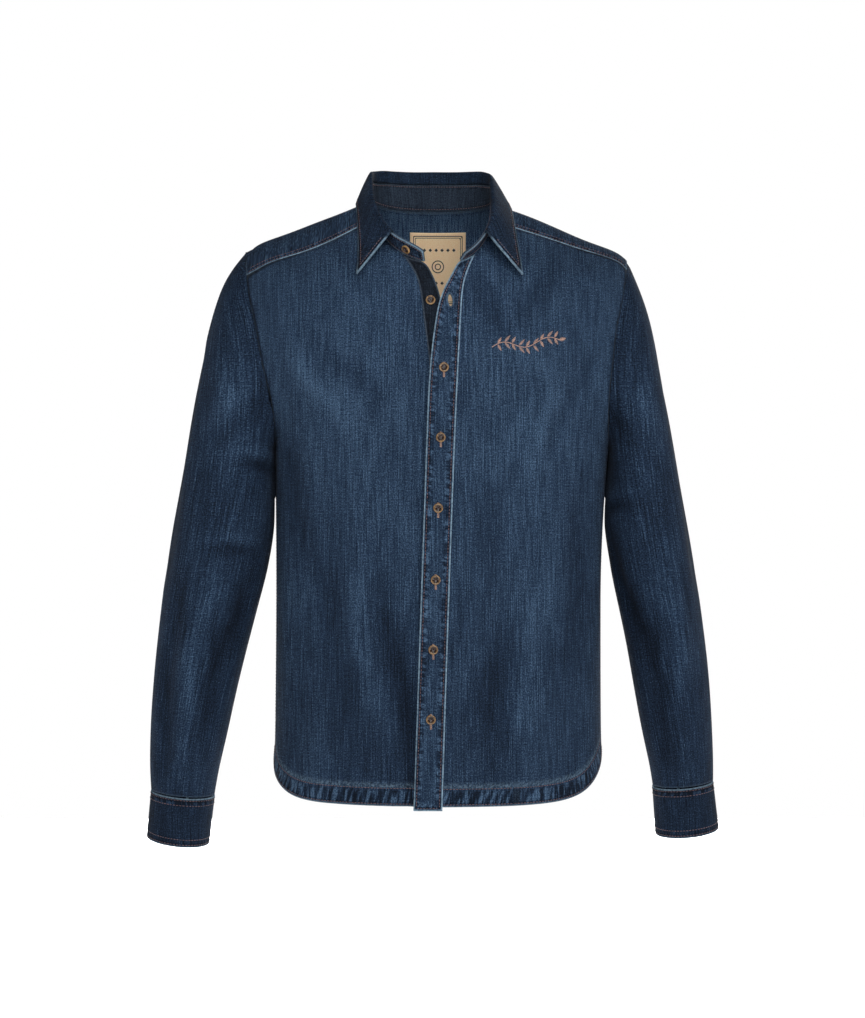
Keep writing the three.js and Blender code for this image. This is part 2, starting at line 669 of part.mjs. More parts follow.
function sleeve(sign, rings, folds) {
  const seam = armholeRing(sign).map(([angle, level]) => skin(angle, level));
  const outward = armholeRing(sign).map(([angle, level]) => formNormal(angle, level));
  const count = seam.length;
  const top = ARMHOLE_STEPS + SHOULDER_FRONT_STEPS;
  const turns = turnsAlong(seam, top);
  const points = [];
  steps(SLEEVE_ROWS).forEach((t, row) => {
    const section = SLEEVE_SECTIONS * t;
    const fade = Math.max(0, 1 - section / CAP_FADE) ** 2;
    turns.forEach((turn, i) => {
      const out = sleeveFold(folds, section, turn);
      const point = ringPoint(rings, sign, section, turn, out);
      const shift = seam[i].clone().sub(ringPoint(rings, sign, 0, turn));
      points[row * count + i] = point.addScaledVector(shift, fade);
    });
  });
  const flat = gridQuads(SLEEVE_ROWS, count, 0, true);
  const quads = flat.map((quad) => (sign < 0 ? quad : [...quad].reverse()));
  return { points, quads, count, turns, outward };
}

// Shares the turn around a ring by the length of its two halves.
function turnsAlong(seam, top) {
  const at = [0];
  seam.forEach((point, i) => at.push(at[i] + point.distanceTo(seam[(i + 1) % seam.length])));
  const whole = at[seam.length];
  return seam.map((_, i) => {
    const front = 180 - 180 * at[i] / at[top];
    const behind = -180 * (at[i] - at[top]) / (whole - at[top]);
    return i <= top ? front : behind;
  });
}

// At the armhole a sleeve's wall lines up with the body's where the two run on into each other, and stands
// clear of it in the fold under the arm.
function sleeveWall({ points, quads, outward }) {
  const drawn = drawnIn(points, quads, SLEEVE_GAP);
  const normals = normalsOf(points, quads);
  outward.forEach((facing, i) => {
    const along = THREE.MathUtils.clamp(normals[i].dot(facing), 0, 1);
    drawn[i].addScaledVector(facing, (1 - along) * ARMPIT_CLEAR);
    normals[i].lerp(facing, along).normalize();
  });
  return wall(drawn, quads, CLOTH, { gap: 0, normals });
}

// A strip of a sleeve's own points, moved out, over the slit above the cuff.
function sleevePlacket({ points, quads, count }) {
  const normals = normalsOf(points, quads);
  const laid = [];
  const first = SLEEVE_ROWS - PLACKET_ROWS;
  for (let row = first; row <= SLEEVE_ROWS; row += 1) {
    for (let i = PLACKET_COLUMNS[0]; i <= PLACKET_COLUMNS[1]; i += 1) {
      const at = row * count + i;
      laid.push(points[at].clone().addScaledVector(normals[at], LAY + BAND_CLOTH));
    }
  }
  const wide = PLACKET_COLUMNS[1] - PLACKET_COLUMNS[0];
  return { points: laid, quads: gridQuads(PLACKET_ROWS, wide) };
}

// The place of the button on a sleeve's placket.
function onSleevePlacket({ points, quads, count }) {
  const at = (SLEEVE_ROWS - PLACKET_BUTTON_ROW) * count + (PLACKET_COLUMNS[0] + PLACKET_COLUMNS[1]) / 2;
  const facing = normalsOf(points, quads)[at];
  return { middle: points[at].clone().addScaledVector(facing, LAY + BAND_CLOTH), facing };
}

// The place of the button on the outer end of a cuff.
function onCuff(sign, rings) {
  const turn = CUFF_START - CUFF_BUTTON_TURN;
  const around = ringPoint(rings, sign, 0.5, turn + 5).sub(ringPoint(rings, sign, 0.5, turn - 5));
  const along = ringPoint(rings, sign, 1, turn).sub(ringPoint(rings, sign, 0, turn));
  const facing = around.cross(along).multiplyScalar(sign).normalize();
  return { middle: ringPoint(rings, sign, 0.5, turn), facing };
}

// A cuff goes once around the wrist, and its inner end runs on under the outer one.
function cuff(sign, rings) {
  const points = [];
  const rows = 3;
  steps(rows).forEach((step) => steps(CUFF_COLUMNS_AROUND).forEach((t) => {
    const gone = t * (360 + CUFF_LAP);
    const under = smoothstep(360 - 22, 360 + 4, gone);
    points.push(ringPoint(rings, sign, step, CUFF_START - gone, -(CUFF_CLOTH + 0.9) * under));
  }));
  return { points, quads: gridQuads(rows, CUFF_COLUMNS_AROUND) };
}

const SIDES = [
  { name: 'right', sign: -1, rings: SLEEVE_RIGHT, cuff: CUFF_RIGHT },
  { name: 'left', sign: 1, rings: SLEEVE_LEFT, cuff: CUFF_LEFT },
];
SIDES.forEach((side) => {
  const cloth = sleeve(side.sign, side.rings, SLEEVE_FOLDS[side.name]);
  add(`${side.name}_sleeve`, sleeveWall(cloth), DENIM);
  const wrist = (turn) => ringPoint(side.cuff, side.sign, 0.5, turn);
  const inside = wrist(0).lerp(wrist(180), 0.5);
  const strip = sleevePlacket(cloth);
  add(`${side.name}_sleeve_placket`, wall(strip.points, strip.quads, BAND_CLOTH, { inside }), DENIM);
  const band = cuff(side.sign, side.cuff);
  add(`${side.name}_cuff`, wall(band.points, band.quads, CUFF_CLOTH, { inside }), DENIM);
  addButton(`${side.name}_placket_button`, onSleevePlacket(cloth), SMALL_BUTTON_RADIUS);
  addButton(`${side.name}_cuff_button`, onCuff(side.sign, side.cuff));
});

// The placket and the button band: strips of cloth laid on the edges of the fronts.
const PLACKET_DROP = 4; // the placket hangs this far below the hem beside it
const PLACKET_OVER = 1.5; // and covers the raw edge of the front by this much
const BAND_LAY = LAY + BAND_CLOTH; // the face of a band over the face of its front
const BAND_ROWS = SIDE_STEPS + ARMHOLE_STEPS - NECK_STEPS; // the rows of a front's edge
const BAND_TOP = 768; // the bands end under the collar stand

const bandLevels = (drop) => [-drop, ...panelLevels(0, NECK, BAND_ROWS).slice(1, -1), BAND_TOP];

function bandGrid(edges, drop, over, out) {
  const sign = Math.sign(edges.inner(0) - edges.outer(0));
  const grid = bandLevels(drop).map((level) => steps(BAND_COLUMNS).map((t) => {
    const x = mix(edges.outer(level) - sign * over, edges.inner(level) + sign * over, t);
    return [angleAtX(x, level), level];
  }));
  return laidOut(grid, out);
}

const onPlacket = () => BAND_LAY;
const onButtonBand = (angle, level) => BAND_LAY + underlap(angle, level);

// A flat place on the cloth, to set a button or a buttonhole on: its middle, the way out and the way up.
function placeAt(x, level, out) {
  const angle = angleAtX(x, level);
  const up = skin(angle, level + 8, out).sub(skin(angle, level - 8, out)).normalize();
  const facing = formNormal(angle, level);
  up.addScaledVector(facing, -up.dot(facing)).normalize();
  return { middle: skin(angle, level, out), facing, up };
}

// A shirt button: a thick rim around a dished middle.
function buttonShape(radius) {
  const outline = [
    [0, 0],
    [radius * 0.8, 0],
    [radius, BUTTON_TALL * 0.45],
    [radius * 0.82, BUTTON_TALL],
    [radius * 0.5, BUTTON_TALL * 0.72],
    [0, BUTTON_TALL * 0.66],
  ].map(([x, y]) => new THREE.Vector2(x, y));
  return weld(new THREE.LatheGeometry(outline, BUTTON_SIDES));
}

// Merges the doubled corners and drops the flat triangles that three.js leaves at a pole.
function weld(geometry) {
  geometry.deleteAttribute('normal');
  geometry.deleteAttribute('uv');
  const merged = mergeVertices(geometry, 1e-4);
  const kept = [];
  for (let i = 0; i < merged.index.count; i += 3) {
    const corners = [0, 1, 2].map((k) => merged.index.getX(i + k));
    if (new Set(corners).size === 3) kept.push(...corners);
  }
  merged.setIndex(kept);
  return merged;
}

function addButton(name, place, radius = BUTTON_RADIUS) {
  const mesh = add(name, buttonShape(radius), HORN);
  mesh.position.copy(place.middle).addScaledVector(place.facing, BUTTON_LIFT);
  mesh.quaternion.setFromUnitVectors(new THREE.Vector3(0, 1, 0), place.facing);
}

// The open buttonhole of the top button, cut through the placket and the front under it.
const HOLE_WIDE = 5;
const HOLE_TALL = 16;
const HOLE_LEVEL = 611;
const HOLE_X = 13.5;
const HOLE_LEAN = 3; // degrees

function buttonholeCutter() {
  const outline = new THREE.Shape();
  outline.absellipse(0, 0, HOLE_WIDE / 2, HOLE_TALL / 2, 0, 2 * Math.PI);
  const cutter = new THREE.ExtrudeGeometry(outline, { depth: 16, bevelEnabled: false, curveSegments: 5 });
  cutter.translate(0, 0, -8);
  cutter.rotateZ(THREE.MathUtils.degToRad(HOLE_LEAN));
  const { middle, facing, up } = placeAt(HOLE_X, HOLE_LEVEL, 0);
  const across = up.clone().cross(facing).normalize();
  cutter.applyMatrix4(new THREE.Matrix4().makeBasis(across, up, facing).setPosition(middle));
  return weld(cutter);
}

function toManifold(geometry) {
  const vertProperties = Float32Array.from(geometry.attributes.position.array);
  const triVerts = Uint32Array.from(geometry.index.array);
  return new wasm.Manifold(new wasm.Mesh({ numProp: 3, vertProperties, triVerts }));
}

function fromManifold(manifold) {
  const mesh = manifold.getMesh();
  const geometry = new THREE.BufferGeometry();
  geometry.setAttribute('position', new THREE.Float32BufferAttribute(mesh.vertProperties, 3));
  geometry.setIndex([...mesh.triVerts]);
  return geometry;
}

function withHole(geometry) {
  return fromManifold(toManifold(geometry).subtract(toManifold(buttonholeCutter())));
}

function frontWall(panel) {
  return wall(panel.points, panel.quads, hemThickness(panel), { inside: CORE, gap: PANEL_GAP });
}
add('left_front', withHole(frontWall(fronts.left)), DENIM);
add('right_front', frontWall(fronts.right), DENIM);

const bandQuads = gridQuads(BAND_ROWS, BAND_COLUMNS);
const placket = bandGrid(PLACKET_EDGES, PLACKET_DROP, PLACKET_OVER, onPlacket);
add('front_placket', withHole(wall(placket, bandQuads, BAND_CLOTH, { inside: CORE })), DENIM);
const buttonBand = bandGrid(BUTTON_BAND_EDGES, 0, 0, onButtonBand);
add('button_band', wall(buttonBand, bandQuads, BAND_CLOTH, { inside: CORE }), DARK_DENIM);

// The place on a band's own face at a level and a share of its width.
function onBand(points, levels, level, share) {
  const row = levels.findIndex((next) => next > level) - 1;
  const column = Math.floor(share * BAND_COLUMNS);
  const up = (level - levels[row]) / (levels[row + 1] - levels[row]);
  const across = share * BAND_COLUMNS - column;
  const [low, high] = [row, row + 1].map((at) => {
    const first = at * (BAND_COLUMNS + 1) + column;
    return points[first].clone().lerp(points[first + 1], across);
  });
  const first = row * (BAND_COLUMNS + 1) + column;
  const sideways = points[first + 1].clone().sub(points[first]);
  const facing = sideways.cross(high.clone().sub(low)).normalize();
  if (facing.y > 0) facing.negate();
  return { middle: low.lerp(high, up), facing };
}

// The fastened buttons sit on the middle line of the placket, the open one on the button band.
const BUTTON_LEVELS = [497, 413, 334, 254, 176, 98];
const OPEN_BUTTON = { level: 613, share: 0.44 };
BUTTON_LEVELS.forEach((level, i) => {
  addButton(`front_button_${i + 2}`, onBand(placket, bandLevels(PLACKET_DROP), level, 0.5));
});
addButton('front_button_1', onBand(buttonBand, bandLevels(0), OPEN_BUTTON.level, OPEN_BUTTON.share));

// The collar, by angle around the neck from the front.
// Columns: height and outward lean of the stand, rise of the roll above it, where the leaf's free edge hangs.
const COLLAR_COLUMNS = ['angle', 'height', 'lean', 'rise', 'edgeX', 'edgeY', 'edgeZ'];
const COLLAR_RIGHT = table(COLLAR_COLUMNS, [
  [9.3, 14, 43, 4, -92.4, -96, -93],
  [14, 20, 42, 4, -92.4, -96, -93],
  [22, 22, 38, 4, -92.4, -96, -93],
  [33, 23, 34, 4, -92.4, -96, -93],
  [39, 23.5, 30, 4.5, -91.6, -86, -81],
  [47, 24, 22, 6, -91.2, -68, -62],
  [56, 24, 13, 7.5, -92, -50, -44],
  [68, 23.5, 4, 9, -93.5, -28, -24],
  [90, 22.5, -4, 11, -96, 8, -2],
  [115, 26, 2, 14, -86, 46, 0],
  [140, 31, 8, 16, -58, 72, -3],
  [180, 34, 13, 17, -7.5, 85, -6],
]);
const COLLAR_LEFT = table(COLLAR_COLUMNS, [
  [14.6, 12, 66, 4, 95.8, -98, -94],
  [20, 19, 62, 4, 95.8, -98, -94],
  [27, 21.5, 54, 4, 95.8, -98, -94],
  [35, 24, 42, 4, 95.8, -98, -94],
  [41, 24, 34, 4.5, 94.6, -88, -83],
  [48, 24, 25, 6, 92, -70, -64],
  [57, 24, 12, 7.5, 89.5, -50, -43],
  [68, 23.5, -1, 9, 88, -28, -26],
  [90, 22.5, -9, 11, 84.5, 6, -6.5],
  [115, 26, -3, 14, 74, 46, -3],
  [140, 31, 6, 16, 46, 72, -4],
  [180, 34, 13, 17, -7.5, 85, -6],
]);
const LEAF_START = BAND_COLUMNS + 1; // the leaf starts this many columns in from each end of the stand
const STAND_LIFT = 0.6; // the stand starts this far above the neck edge
const STAND_ROWS = [0, 0.5, 1];
const STAND_GAP = 0.5; // between the two layers of the stand
const NECK_AXIS = new THREE.Vector3(-3, -10, 0);
const UP = new THREE.Vector3(0, 0, 1);

// The stand has a column wherever the pieces at the neck seam have one.
const neckRow = [...fronts.right.neck, ...yoke[0].slice(1), ...fronts.left.neck.reverse().slice(1)];
const collarPlaces = neckRow.map(([angle]) => {
  const turned = angle < -180 ? angle + 360 : angle;
  const sign = turned < 0 ? -1 : 1;
  return { sign, angle: Math.abs(turned), sizes: sign < 0 ? COLLAR_RIGHT : COLLAR_LEFT };
});

// The directions in which the stand rises and faces at a place around the neck.
function collarFrame({ sign, angle, sizes }) {
  const base = onForm(sign * angle, NECK);
  const radial = base.clone().sub(NECK_AXIS).setZ(0).normalize();
  const lean = THREE.MathUtils.degToRad(sizes.lean(angle));
  const rise = radial.clone().multiplyScalar(Math.sin(lean)).addScaledVector(UP, Math.cos(lean));
  const out = radial.clone().multiplyScalar(Math.cos(lean)).addScaledVector(UP, -Math.sin(lean));
  return { base, rise, out };
}

function collarPoint(place, out, up) {
  const frame = collarFrame(place);
  return frame.base.clone().addScaledVector(frame.out, out).addScaledVector(frame.rise, up);
}

// The two layers of the stand lie on either side of one sheet.
function standLayer(out) {
  const sheet = STAND_ROWS.flatMap((share) => collarPlaces.map((place) => {
    const height = place.sizes.height(place.angle);
    return collarPoint(place, 0, mix(STAND_LIFT, height, share));
  }));
  const quads = gridQuads(STAND_ROWS.length - 1, collarPlaces.length - 1);
  const normals = normalsOf(sheet, quads);
  const points = sheet.map((point, i) => point.clone().addScaledVector(normals[i], out));
  return wall(points, quads, STAND_CLOTH, { normals });
}
add('collar_stand', standLayer(STAND_GAP / 2 + STAND_CLOTH), DENIM);
add('inner_collar_stand', standLayer(-STAND_GAP / 2), DARK_DENIM);

// The roll of the collar over the stand: out from the stand's neck face, and up as a share of the rise.
const ROLL = [
  { out: 0, up: 0 },
  { out: 0.2, up: 0.55 },
  { out: 1.1, up: 0.88 },
  { out: 3, up: 1 },
  { out: 5.2, up: 0.88 },
];
const FALL_SHARES = [0.3, 0.65, 1]; // rows of the leaf between its roll and its edge
const LEAF_BULGE = 1;
const LEAF_LIFT = 0.8; // the leaf starts this far above the stand

function leaf() {
  const places = collarPlaces.slice(LEAF_START, -LEAF_START);
  const neckFace = -(STAND_GAP / 2 + STAND_CLOTH);
  const rolled = (place, { out, up }) => {
    const { angle, sizes } = place;
    return collarPoint(place, neckFace + out, sizes.height(angle) + LEAF_LIFT + up * sizes.rise(angle));
  };
  const last = ROLL[ROLL.length - 1];
  const falling = (place, share) => {
    const { angle, sizes } = place;
    const edge = new THREE.Vector3(sizes.edgeX(angle), sizes.edgeY(angle), sizes.edgeZ(angle));
    const bulge = LEAF_BULGE * Math.sin(Math.PI * share);
    return rolled(place, last).lerp(edge, share).addScaledVector(collarFrame(place).out, bulge);
  };
  const points = [
    ...ROLL.flatMap((row) => places.map((place) => rolled(place, row))),
    ...FALL_SHARES.flatMap((share) => places.map((place) => falling(place, share))),
  ];
  const rows = ROLL.length + FALL_SHARES.length - 1;
  return wall(points, gridQuads(rows, places.length - 1), LEAF_CLOTH);
}
add('collar', leaf(), DENIM);

// The collar button, on the outer face of the stand's right end.
const COLLAR_BUTTON = { angle: 23, height: 12, reach: 6 };
function collarButtonPlace() {
  const { angle, height, reach } = COLLAR_BUTTON;
  const at = (turned, up) => collarPoint({ sign: -1, angle: turned, sizes: COLLAR_RIGHT }, 0, up);
  const around = at(angle - reach, height).sub(at(angle + reach, height));
  const rising = at(angle, height + reach).sub(at(angle, height - reach));
  const facing = around.cross(rising).normalize();
  const face = STAND_GAP / 2 + STAND_CLOTH;
  return { middle: at(angle, height).addScaledVector(facing, face), facing };
}
addButton('collar_button', collarButtonPlace());

// The neck label, on the inside of the yoke under the stand.
const LABEL_SIDES = [-33.5, 33.5];
const LABEL_LEVELS = [604, 724];
const LABEL_GRID = [4, 6];
const LABEL_LAY = 0.7;

function label() {
  const points = steps(LABEL_GRID[1]).flatMap((v) => steps(LABEL_GRID[0]).map((u) => {
    const level = mix(...LABEL_LEVELS, v);
    return skin(angleAtX(mix(...LABEL_SIDES, u), level, 240, 120), level, -(CLOTH + LABEL_LAY));
  }));
  return wall(points, gridQuads(LABEL_GRID[1], LABEL_GRID[0]), LABEL_CLOTH, { inside: CORE });
}
add('neck_label', label(), LABEL);

export default shirt;
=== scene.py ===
"""A denim shirt, filled out as worn and open at the neck, on a pale floor in soft studio light."""

import math

import bmesh
import bpy
import numpy as np
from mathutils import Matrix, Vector
from mathutils.bvhtree import BVHTree
from mathutils.kdtree import KDTree


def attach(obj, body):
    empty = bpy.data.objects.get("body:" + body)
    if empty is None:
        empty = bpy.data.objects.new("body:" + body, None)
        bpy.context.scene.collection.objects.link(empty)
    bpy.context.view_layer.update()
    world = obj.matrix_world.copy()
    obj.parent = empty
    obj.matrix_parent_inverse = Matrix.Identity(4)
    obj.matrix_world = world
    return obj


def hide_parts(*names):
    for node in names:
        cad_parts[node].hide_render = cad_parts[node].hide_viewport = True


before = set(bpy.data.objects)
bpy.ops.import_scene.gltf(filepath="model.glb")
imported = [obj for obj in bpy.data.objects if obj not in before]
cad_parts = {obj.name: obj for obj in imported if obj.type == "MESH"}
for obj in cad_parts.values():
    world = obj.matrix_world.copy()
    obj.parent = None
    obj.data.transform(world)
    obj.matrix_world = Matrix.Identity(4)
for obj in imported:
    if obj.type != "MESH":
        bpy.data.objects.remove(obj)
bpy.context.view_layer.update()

MM = 0.001


def put(name, data):
    """Puts a new object with this data into the scene."""
    thing = bpy.data.objects.new(name, data)
    bpy.context.scene.collection.objects.link(thing)
    return thing


def finished_mesh(work, name):
    """The mesh of a bmesh that is done with."""
    data = bpy.data.meshes.new(name)
    work.to_mesh(data)
    work.free()
    return data


def face_outward(data):
    """Turns a mesh's faces so that they all look outward."""
    work = bmesh.new()
    work.from_mesh(data)
    bmesh.ops.recalc_face_normals(work, faces=work.faces)
    work.to_mesh(data)
    work.free()


# ---------------------------------------------------------------- camera, floor and light

camera_data = bpy.data.cameras.new("camera")
camera_data.sensor_width = 36
camera_data.lens = 97.55
camera = put("camera", camera_data)
camera.location = (-0.0064, -3.2, -0.358)
camera.rotation_euler = (math.radians(90), 0, 0)
bpy.context.scene.camera = camera
bpy.context.scene.view_settings.view_transform = "Standard"


def linear(colour):
    """The linear colour of an sRGB hex colour."""
    parts = [int(colour[i : i + 2], 16) / 255 for i in (0, 2, 4)]
    return (*[c / 12.92 if c <= 0.04045 else ((c + 0.055) / 1.055) ** 2.4 for c in parts], 1.0)


def add(tree, kind, inputs=(), out=0, stops=(), **settings):
    """Adds a node with its settings, a ramp's stops, values and links, and gives one of its outputs."""
    node = tree.nodes.new("ShaderNode" + kind)
    for key, value in settings.items():
        setattr(node, key, value)
    if len(stops) == 3:
        node.color_ramp.elements.new(0.5)
    for i in reversed(range(len(stops))):
        stop = node.color_ramp.elements[i]
        stop.position, stop.color = stops[i][0], linear(stops[i][1])
    for key, value in inputs.items() if isinstance(inputs, dict) else enumerate(inputs):
        if isinstance(value, bpy.types.NodeSocket):
            tree.links.new(value, node.inputs[key])
        else:
            node.inputs[key].default_value = value
    return node.outputs[out] if node.outputs else None


def new_material(name):
    material = bpy.data.materials.new(name)
    material.use_nodes = True
    material.node_tree.nodes.clear()
    return material, material.node_tree


def area_light(name, place, aim, size, power, spread=180):
    data = bpy.data.lights.new(name, "AREA")
    data.shape = "RECTANGLE"
    data.size, data.size_y = size
    data.energy = power
    data.spread = math.radians(spread)
    light = put(name, data)
    light.location = place
    light.rotation_euler = (Vector(aim) - Vector(place)).to_track_quat("-Z", "Y").to_euler()


FLOOR_HEIGHT, FLOOR_HALF = -1.02, 2.7
WHITE = (1, 1, 1, 1)

# Each light's place, aim, size in m, power in W and spread in degrees.
LIGHTS = {
    "key": ((1.25, -2.6, 1.1), (0, 0, -0.35), (1.0, 1.0), 22),
    "top": ((0, -1.7, 1.7), (0, 0.05, -0.08), (0.6, 0.6), 8),
    "front": ((-0.1, -3.3, 0.05), (0, 0, -0.3), (0.9, 0.9), 17.5),
    "neck": ((0, -1.3, 0.22), (0, 0.08, -0.07), (0.15, 0.15), 0.04, 17),
    "back_key": ((1.3, 2.8, 1.0), (0, 0, -0.35), (1.0, 1.0), 26),
    "back_front": ((-0.2, 3.3, 0.1), (0, 0, -0.3), (0.9, 0.9), 22),
    "floor_wash": ((0, 2.6, 2.0), (0, 2.6, -1.0), (5.0, 2.2), 150, 75),
    "floor_wash_right": ((-2.6, 0, 2.0), (-2.6, 0, -1.0), (2.2, 5.0), 70, 30),
    "floor_wash_left": ((2.6, 0, 2.0), (2.6, 0, -1.0), (2.2, 5.0), 70, 30),
}


def studio():
    """A wide pale floor, a white surround and large soft lights on all sides."""
    work = bmesh.new()
    bmesh.ops.create_grid(work, x_segments=1, y_segments=1, size=FLOOR_HALF)
    bmesh.ops.translate(work, verts=work.verts, vec=(0, 0, FLOOR_HEIGHT))
    floor = put("floor", finished_mesh(work, "floor"))
    material, tree = new_material("matt_white_floor_paint")
    # rolled on evenly: only wide, faint clouds show
    place = add(tree, "TexCoord", out="Object")
    grain = add(tree, "TexNoise", {"Vector": place, "Scale": 3.0, "Detail": 2.0})
    shade = add(tree, "ValToRGB", [grain], stops=[(0, "F3F3F3"), (1, "F8F8F8")])
    paint = {"Base Color": shade, "Roughness": 0.9, "Emission Color": WHITE, "Emission Strength": 0.38}
    add(tree, "OutputMaterial", [add(tree, "BsdfPrincipled", paint)])
    floor.data.materials.append(material)

    world = bpy.data.worlds.new("studio")
    world.use_nodes = True
    tree = world.node_tree
    tree.nodes.clear()
    # the surround looks white but casts little light
    cast = add(tree, "Background", {"Color": WHITE, "Strength": 0.1})
    seen = add(tree, "Background", {"Color": WHITE, "Strength": 1.0})
    from_camera = add(tree, "LightPath", out="Is Camera Ray")
    add(tree, "OutputWorld", [add(tree, "MixShader", [from_camera, cast, seen])])
    bpy.context.scene.world = world
    for name, values in LIGHTS.items():
        area_light(name, *values)


studio()

# ---------------------------------------------------------------- the shirt's form and its creases

def centre_line(name):
    """The sleeve's centre line as x and y in mm, each a curve of the height."""
    points = np.array([v.co[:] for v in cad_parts[name].data.vertices]) / MM
    return [np.polyfit(points[:, 2], points[:, k], 3) for k in (0, 1)]


AXES = {name: centre_line(name) for name in ("right_sleeve", "left_sleeve")}
ARM_TOP, ARM_END = -120, -720  # heights in mm between which a sleeve has a centre line of its own
BODY_HALF_WIDTH, BODY_HALF_DEPTH = 190, 112  # mm


def around_arm(points, arm):
    """The angle round a sleeve, front to outside in degrees, and the way out from its centre line."""
    low = np.clip(points[:, 2], ARM_END, ARM_TOP)
    x, y = (points[:, k] - np.polyval(AXES[arm][k], low) for k in (0, 1))
    side = -1 if arm == "right_sleeve" else 1
    away = np.stack([x, y, np.zeros(len(x))], 1)
    away /= np.maximum(np.linalg.norm(away, axis=1), 1)[:, None]
    return np.degrees(np.arctan2(side * x, -y)), away


def around_body(points):
    """The way out from the body's middle."""
    away = points * (BODY_HALF_WIDTH**-2, BODY_HALF_DEPTH**-2, 0)
    return away / np.maximum(np.linalg.norm(away, axis=1), 1e-9)[:, None]


# Creases of the body: face (front -1, back 1), the ends' x and z, half width and height, all in mm.
BODY_CREASES = {
    "front_drag_beside_placket": (-1, -66, -440, -36, -590, 13, -4.0),
    "front_ridge_beside_drag": (-1, -95, -450, -66, -600, 15, 2.2),
    "right_placket_shadow": (-1, -34, -560, -33, -690, 9, -3.4),
    "right_chest_from_shoulder": (-1, -165, -185, -110, -250, 12, 2.6),
    "right_chest_trough": (-1, -150, -160, -70, -230, 12, -2.4),
    "right_waist_soft": (-1, -120, -380, -110, -560, 18, -2.4),
    "right_side_drag": (-1, -168, -290, -150, -430, 14, -2.6),
    "right_hem_wave": (-1, -135, -600, -130, -690, 16, 2.0),
    "left_collar_drag": (-1, 45, -95, 70, -160, 10, -2.8),
    "left_chest_from_shoulder": (-1, 130, -95, 90, -150, 12, -2.2),
    "left_armhole_drag": (-1, 172, -190, 120, -290, 13, -2.4),
    "left_chest_ridge": (-1, 150, -210, 100, -310, 13, 2.0),
    "left_waist_trough": (-1, 55, -340, 62, -420, 12, -2.2),
    "left_low_trough": (-1, 72, -500, 60, -640, 16, -3.0),
    "left_low_ridge": (-1, 105, -470, 98, -650, 18, 2.4),
    "left_side_drag": (-1, 165, -330, 150, -520, 14, -2.4),
    "back_right_fall": (1, -82, -150, -98, -500, 17, -4.2),
    "back_left_fall": (1, 74, -140, 92, -520, 17, -4.0),
    "back_middle_ridge": (1, -6, -190, 4, -430, 24, 2.4),
    "back_waist_slack": (1, -70, -455, 60, -475, 13, -3.0),
    "back_waist_roll": (1, -50, -488, 75, -500, 13, 2.6),
    "back_right_armpit_drag": (1, -165, -250, -112, -390, 13, -3.2),
    "back_left_armpit_drag": (1, 166, -240, 116, -400, 13, -3.4),
    "back_low_wave": (1, 40, -560, 46, -690, 17, -2.6),
    "back_low_wave_2": (1, -60, -570, -52, -700, 17, -2.2),
}

# Creases of a sleeve: the ends' angle and z, half width and height in degrees and mm.
ARM_CREASES = {
    "right_sleeve": {
        "elbow_nick": (-14, -306, -75, -316, 6.5, -3.4),
        "elbow_roll": (-10, -292, -70, -300, 8, 2.0),
        "lower_nick": (8, -402, -45, -408, 6, -3.0),
        "lower_roll": (15, -392, -40, -396, 8, 1.8),
        "forearm_ridge": (6, -425, 2, -640, 10, 2.6),
        "forearm_inner_trough": (-48, -430, -22, -610, 11, -3.4),
        "forearm_outer_trough": (38, -450, 30, -660, 10, -2.4),
        "upper_drag": (-50, -200, 10, -280, 11, -2.6),
        "upper_patch": (12, -210, 0, -300, 15, 2.2),
        "outer_fall": (80, -180, 75, -420, 13, -2.4),
        "elbow_back_1": (135, -352, 215, -372, 8, -3.6),
        "elbow_back_2": (140, -392, 220, -380, 8, -3.2),
        "elbow_back_roll": (140, -372, 215, -376, 8, 2.4),
        "back_forearm": (165, -430, 178, -640, 12, -3.0),
        "back_upper": (150, -190, 200, -320, 13, -3.0),
    },
    "left_sleeve": {
        "upper_drag": (-55, -205, 5, -300, 11, -2.8),
        "upper_patch": (15, -215, 5, -310, 15, 2.2),
        "elbow_nick": (-20, -352, -78, -362, 6.5, -3.0),
        "elbow_roll": (-18, -338, -74, -346, 8, 2.0),
        "forearm_ridge": (14, -400, 6, -560, 10, 2.6),
        "forearm_inner_trough": (-62, -395, -26, -560, 11, -3.6),
        "forearm_low_trough": (-20, -560, -34, -660, 10, -2.4),
        "outer_fall": (78, -200, 70, -430, 13, -2.4),
        "elbow_back_1": (135, -362, 212, -348, 8, -3.6),
        "elbow_back_2": (142, -398, 218, -392, 8, -3.0),
        "elbow_back_roll": (140, -378, 215, -370, 8, 2.4),
        "back_forearm": (172, -430, 160, -640, 12, -3.0),
        "back_upper": (205, -190, 155, -320, 13, -3.0),
    },
}


CREASE_DEPTH = 1.75  # all heights in the two tables are made deeper by this


def crease(across, up, ends, half_width, height):
    """How far out a crease lifts the points: a soft line between its two ends."""
    a, b = np.array(ends[:2], float), np.array(ends[2:], float)
    along = b - a
    length = np.linalg.norm(along)
    along /= length
    du, dv = across - a[0], up - a[1]
    run = du * along[0] + dv * along[1]
    off = du * -along[1] + dv * along[0]
    past = np.maximum(np.maximum(-run, run - length), 0)
    middle = np.clip(run / length, 0, 1)
    # a crease is deepest in its middle and wanders a little to both sides
    off = off + 0.25 * half_width * np.sin(run / (2.2 * half_width))
    shape = np.exp(-((off / half_width) ** 2) - (past / (1.3 * half_width)) ** 2)
    return CREASE_DEPTH * height * shape * (0.55 + 0.45 * np.sin(math.pi * middle))


def soft_step(value, low, high):
    t = np.clip((value - low) / (high - low), 0, 1)
    return t * t * (3 - 2 * t)


PLACKET_MIDDLE = -4  # its x in mm
SLEEVE_SCALE = 0.75  # mm round a sleeve for each degree, about


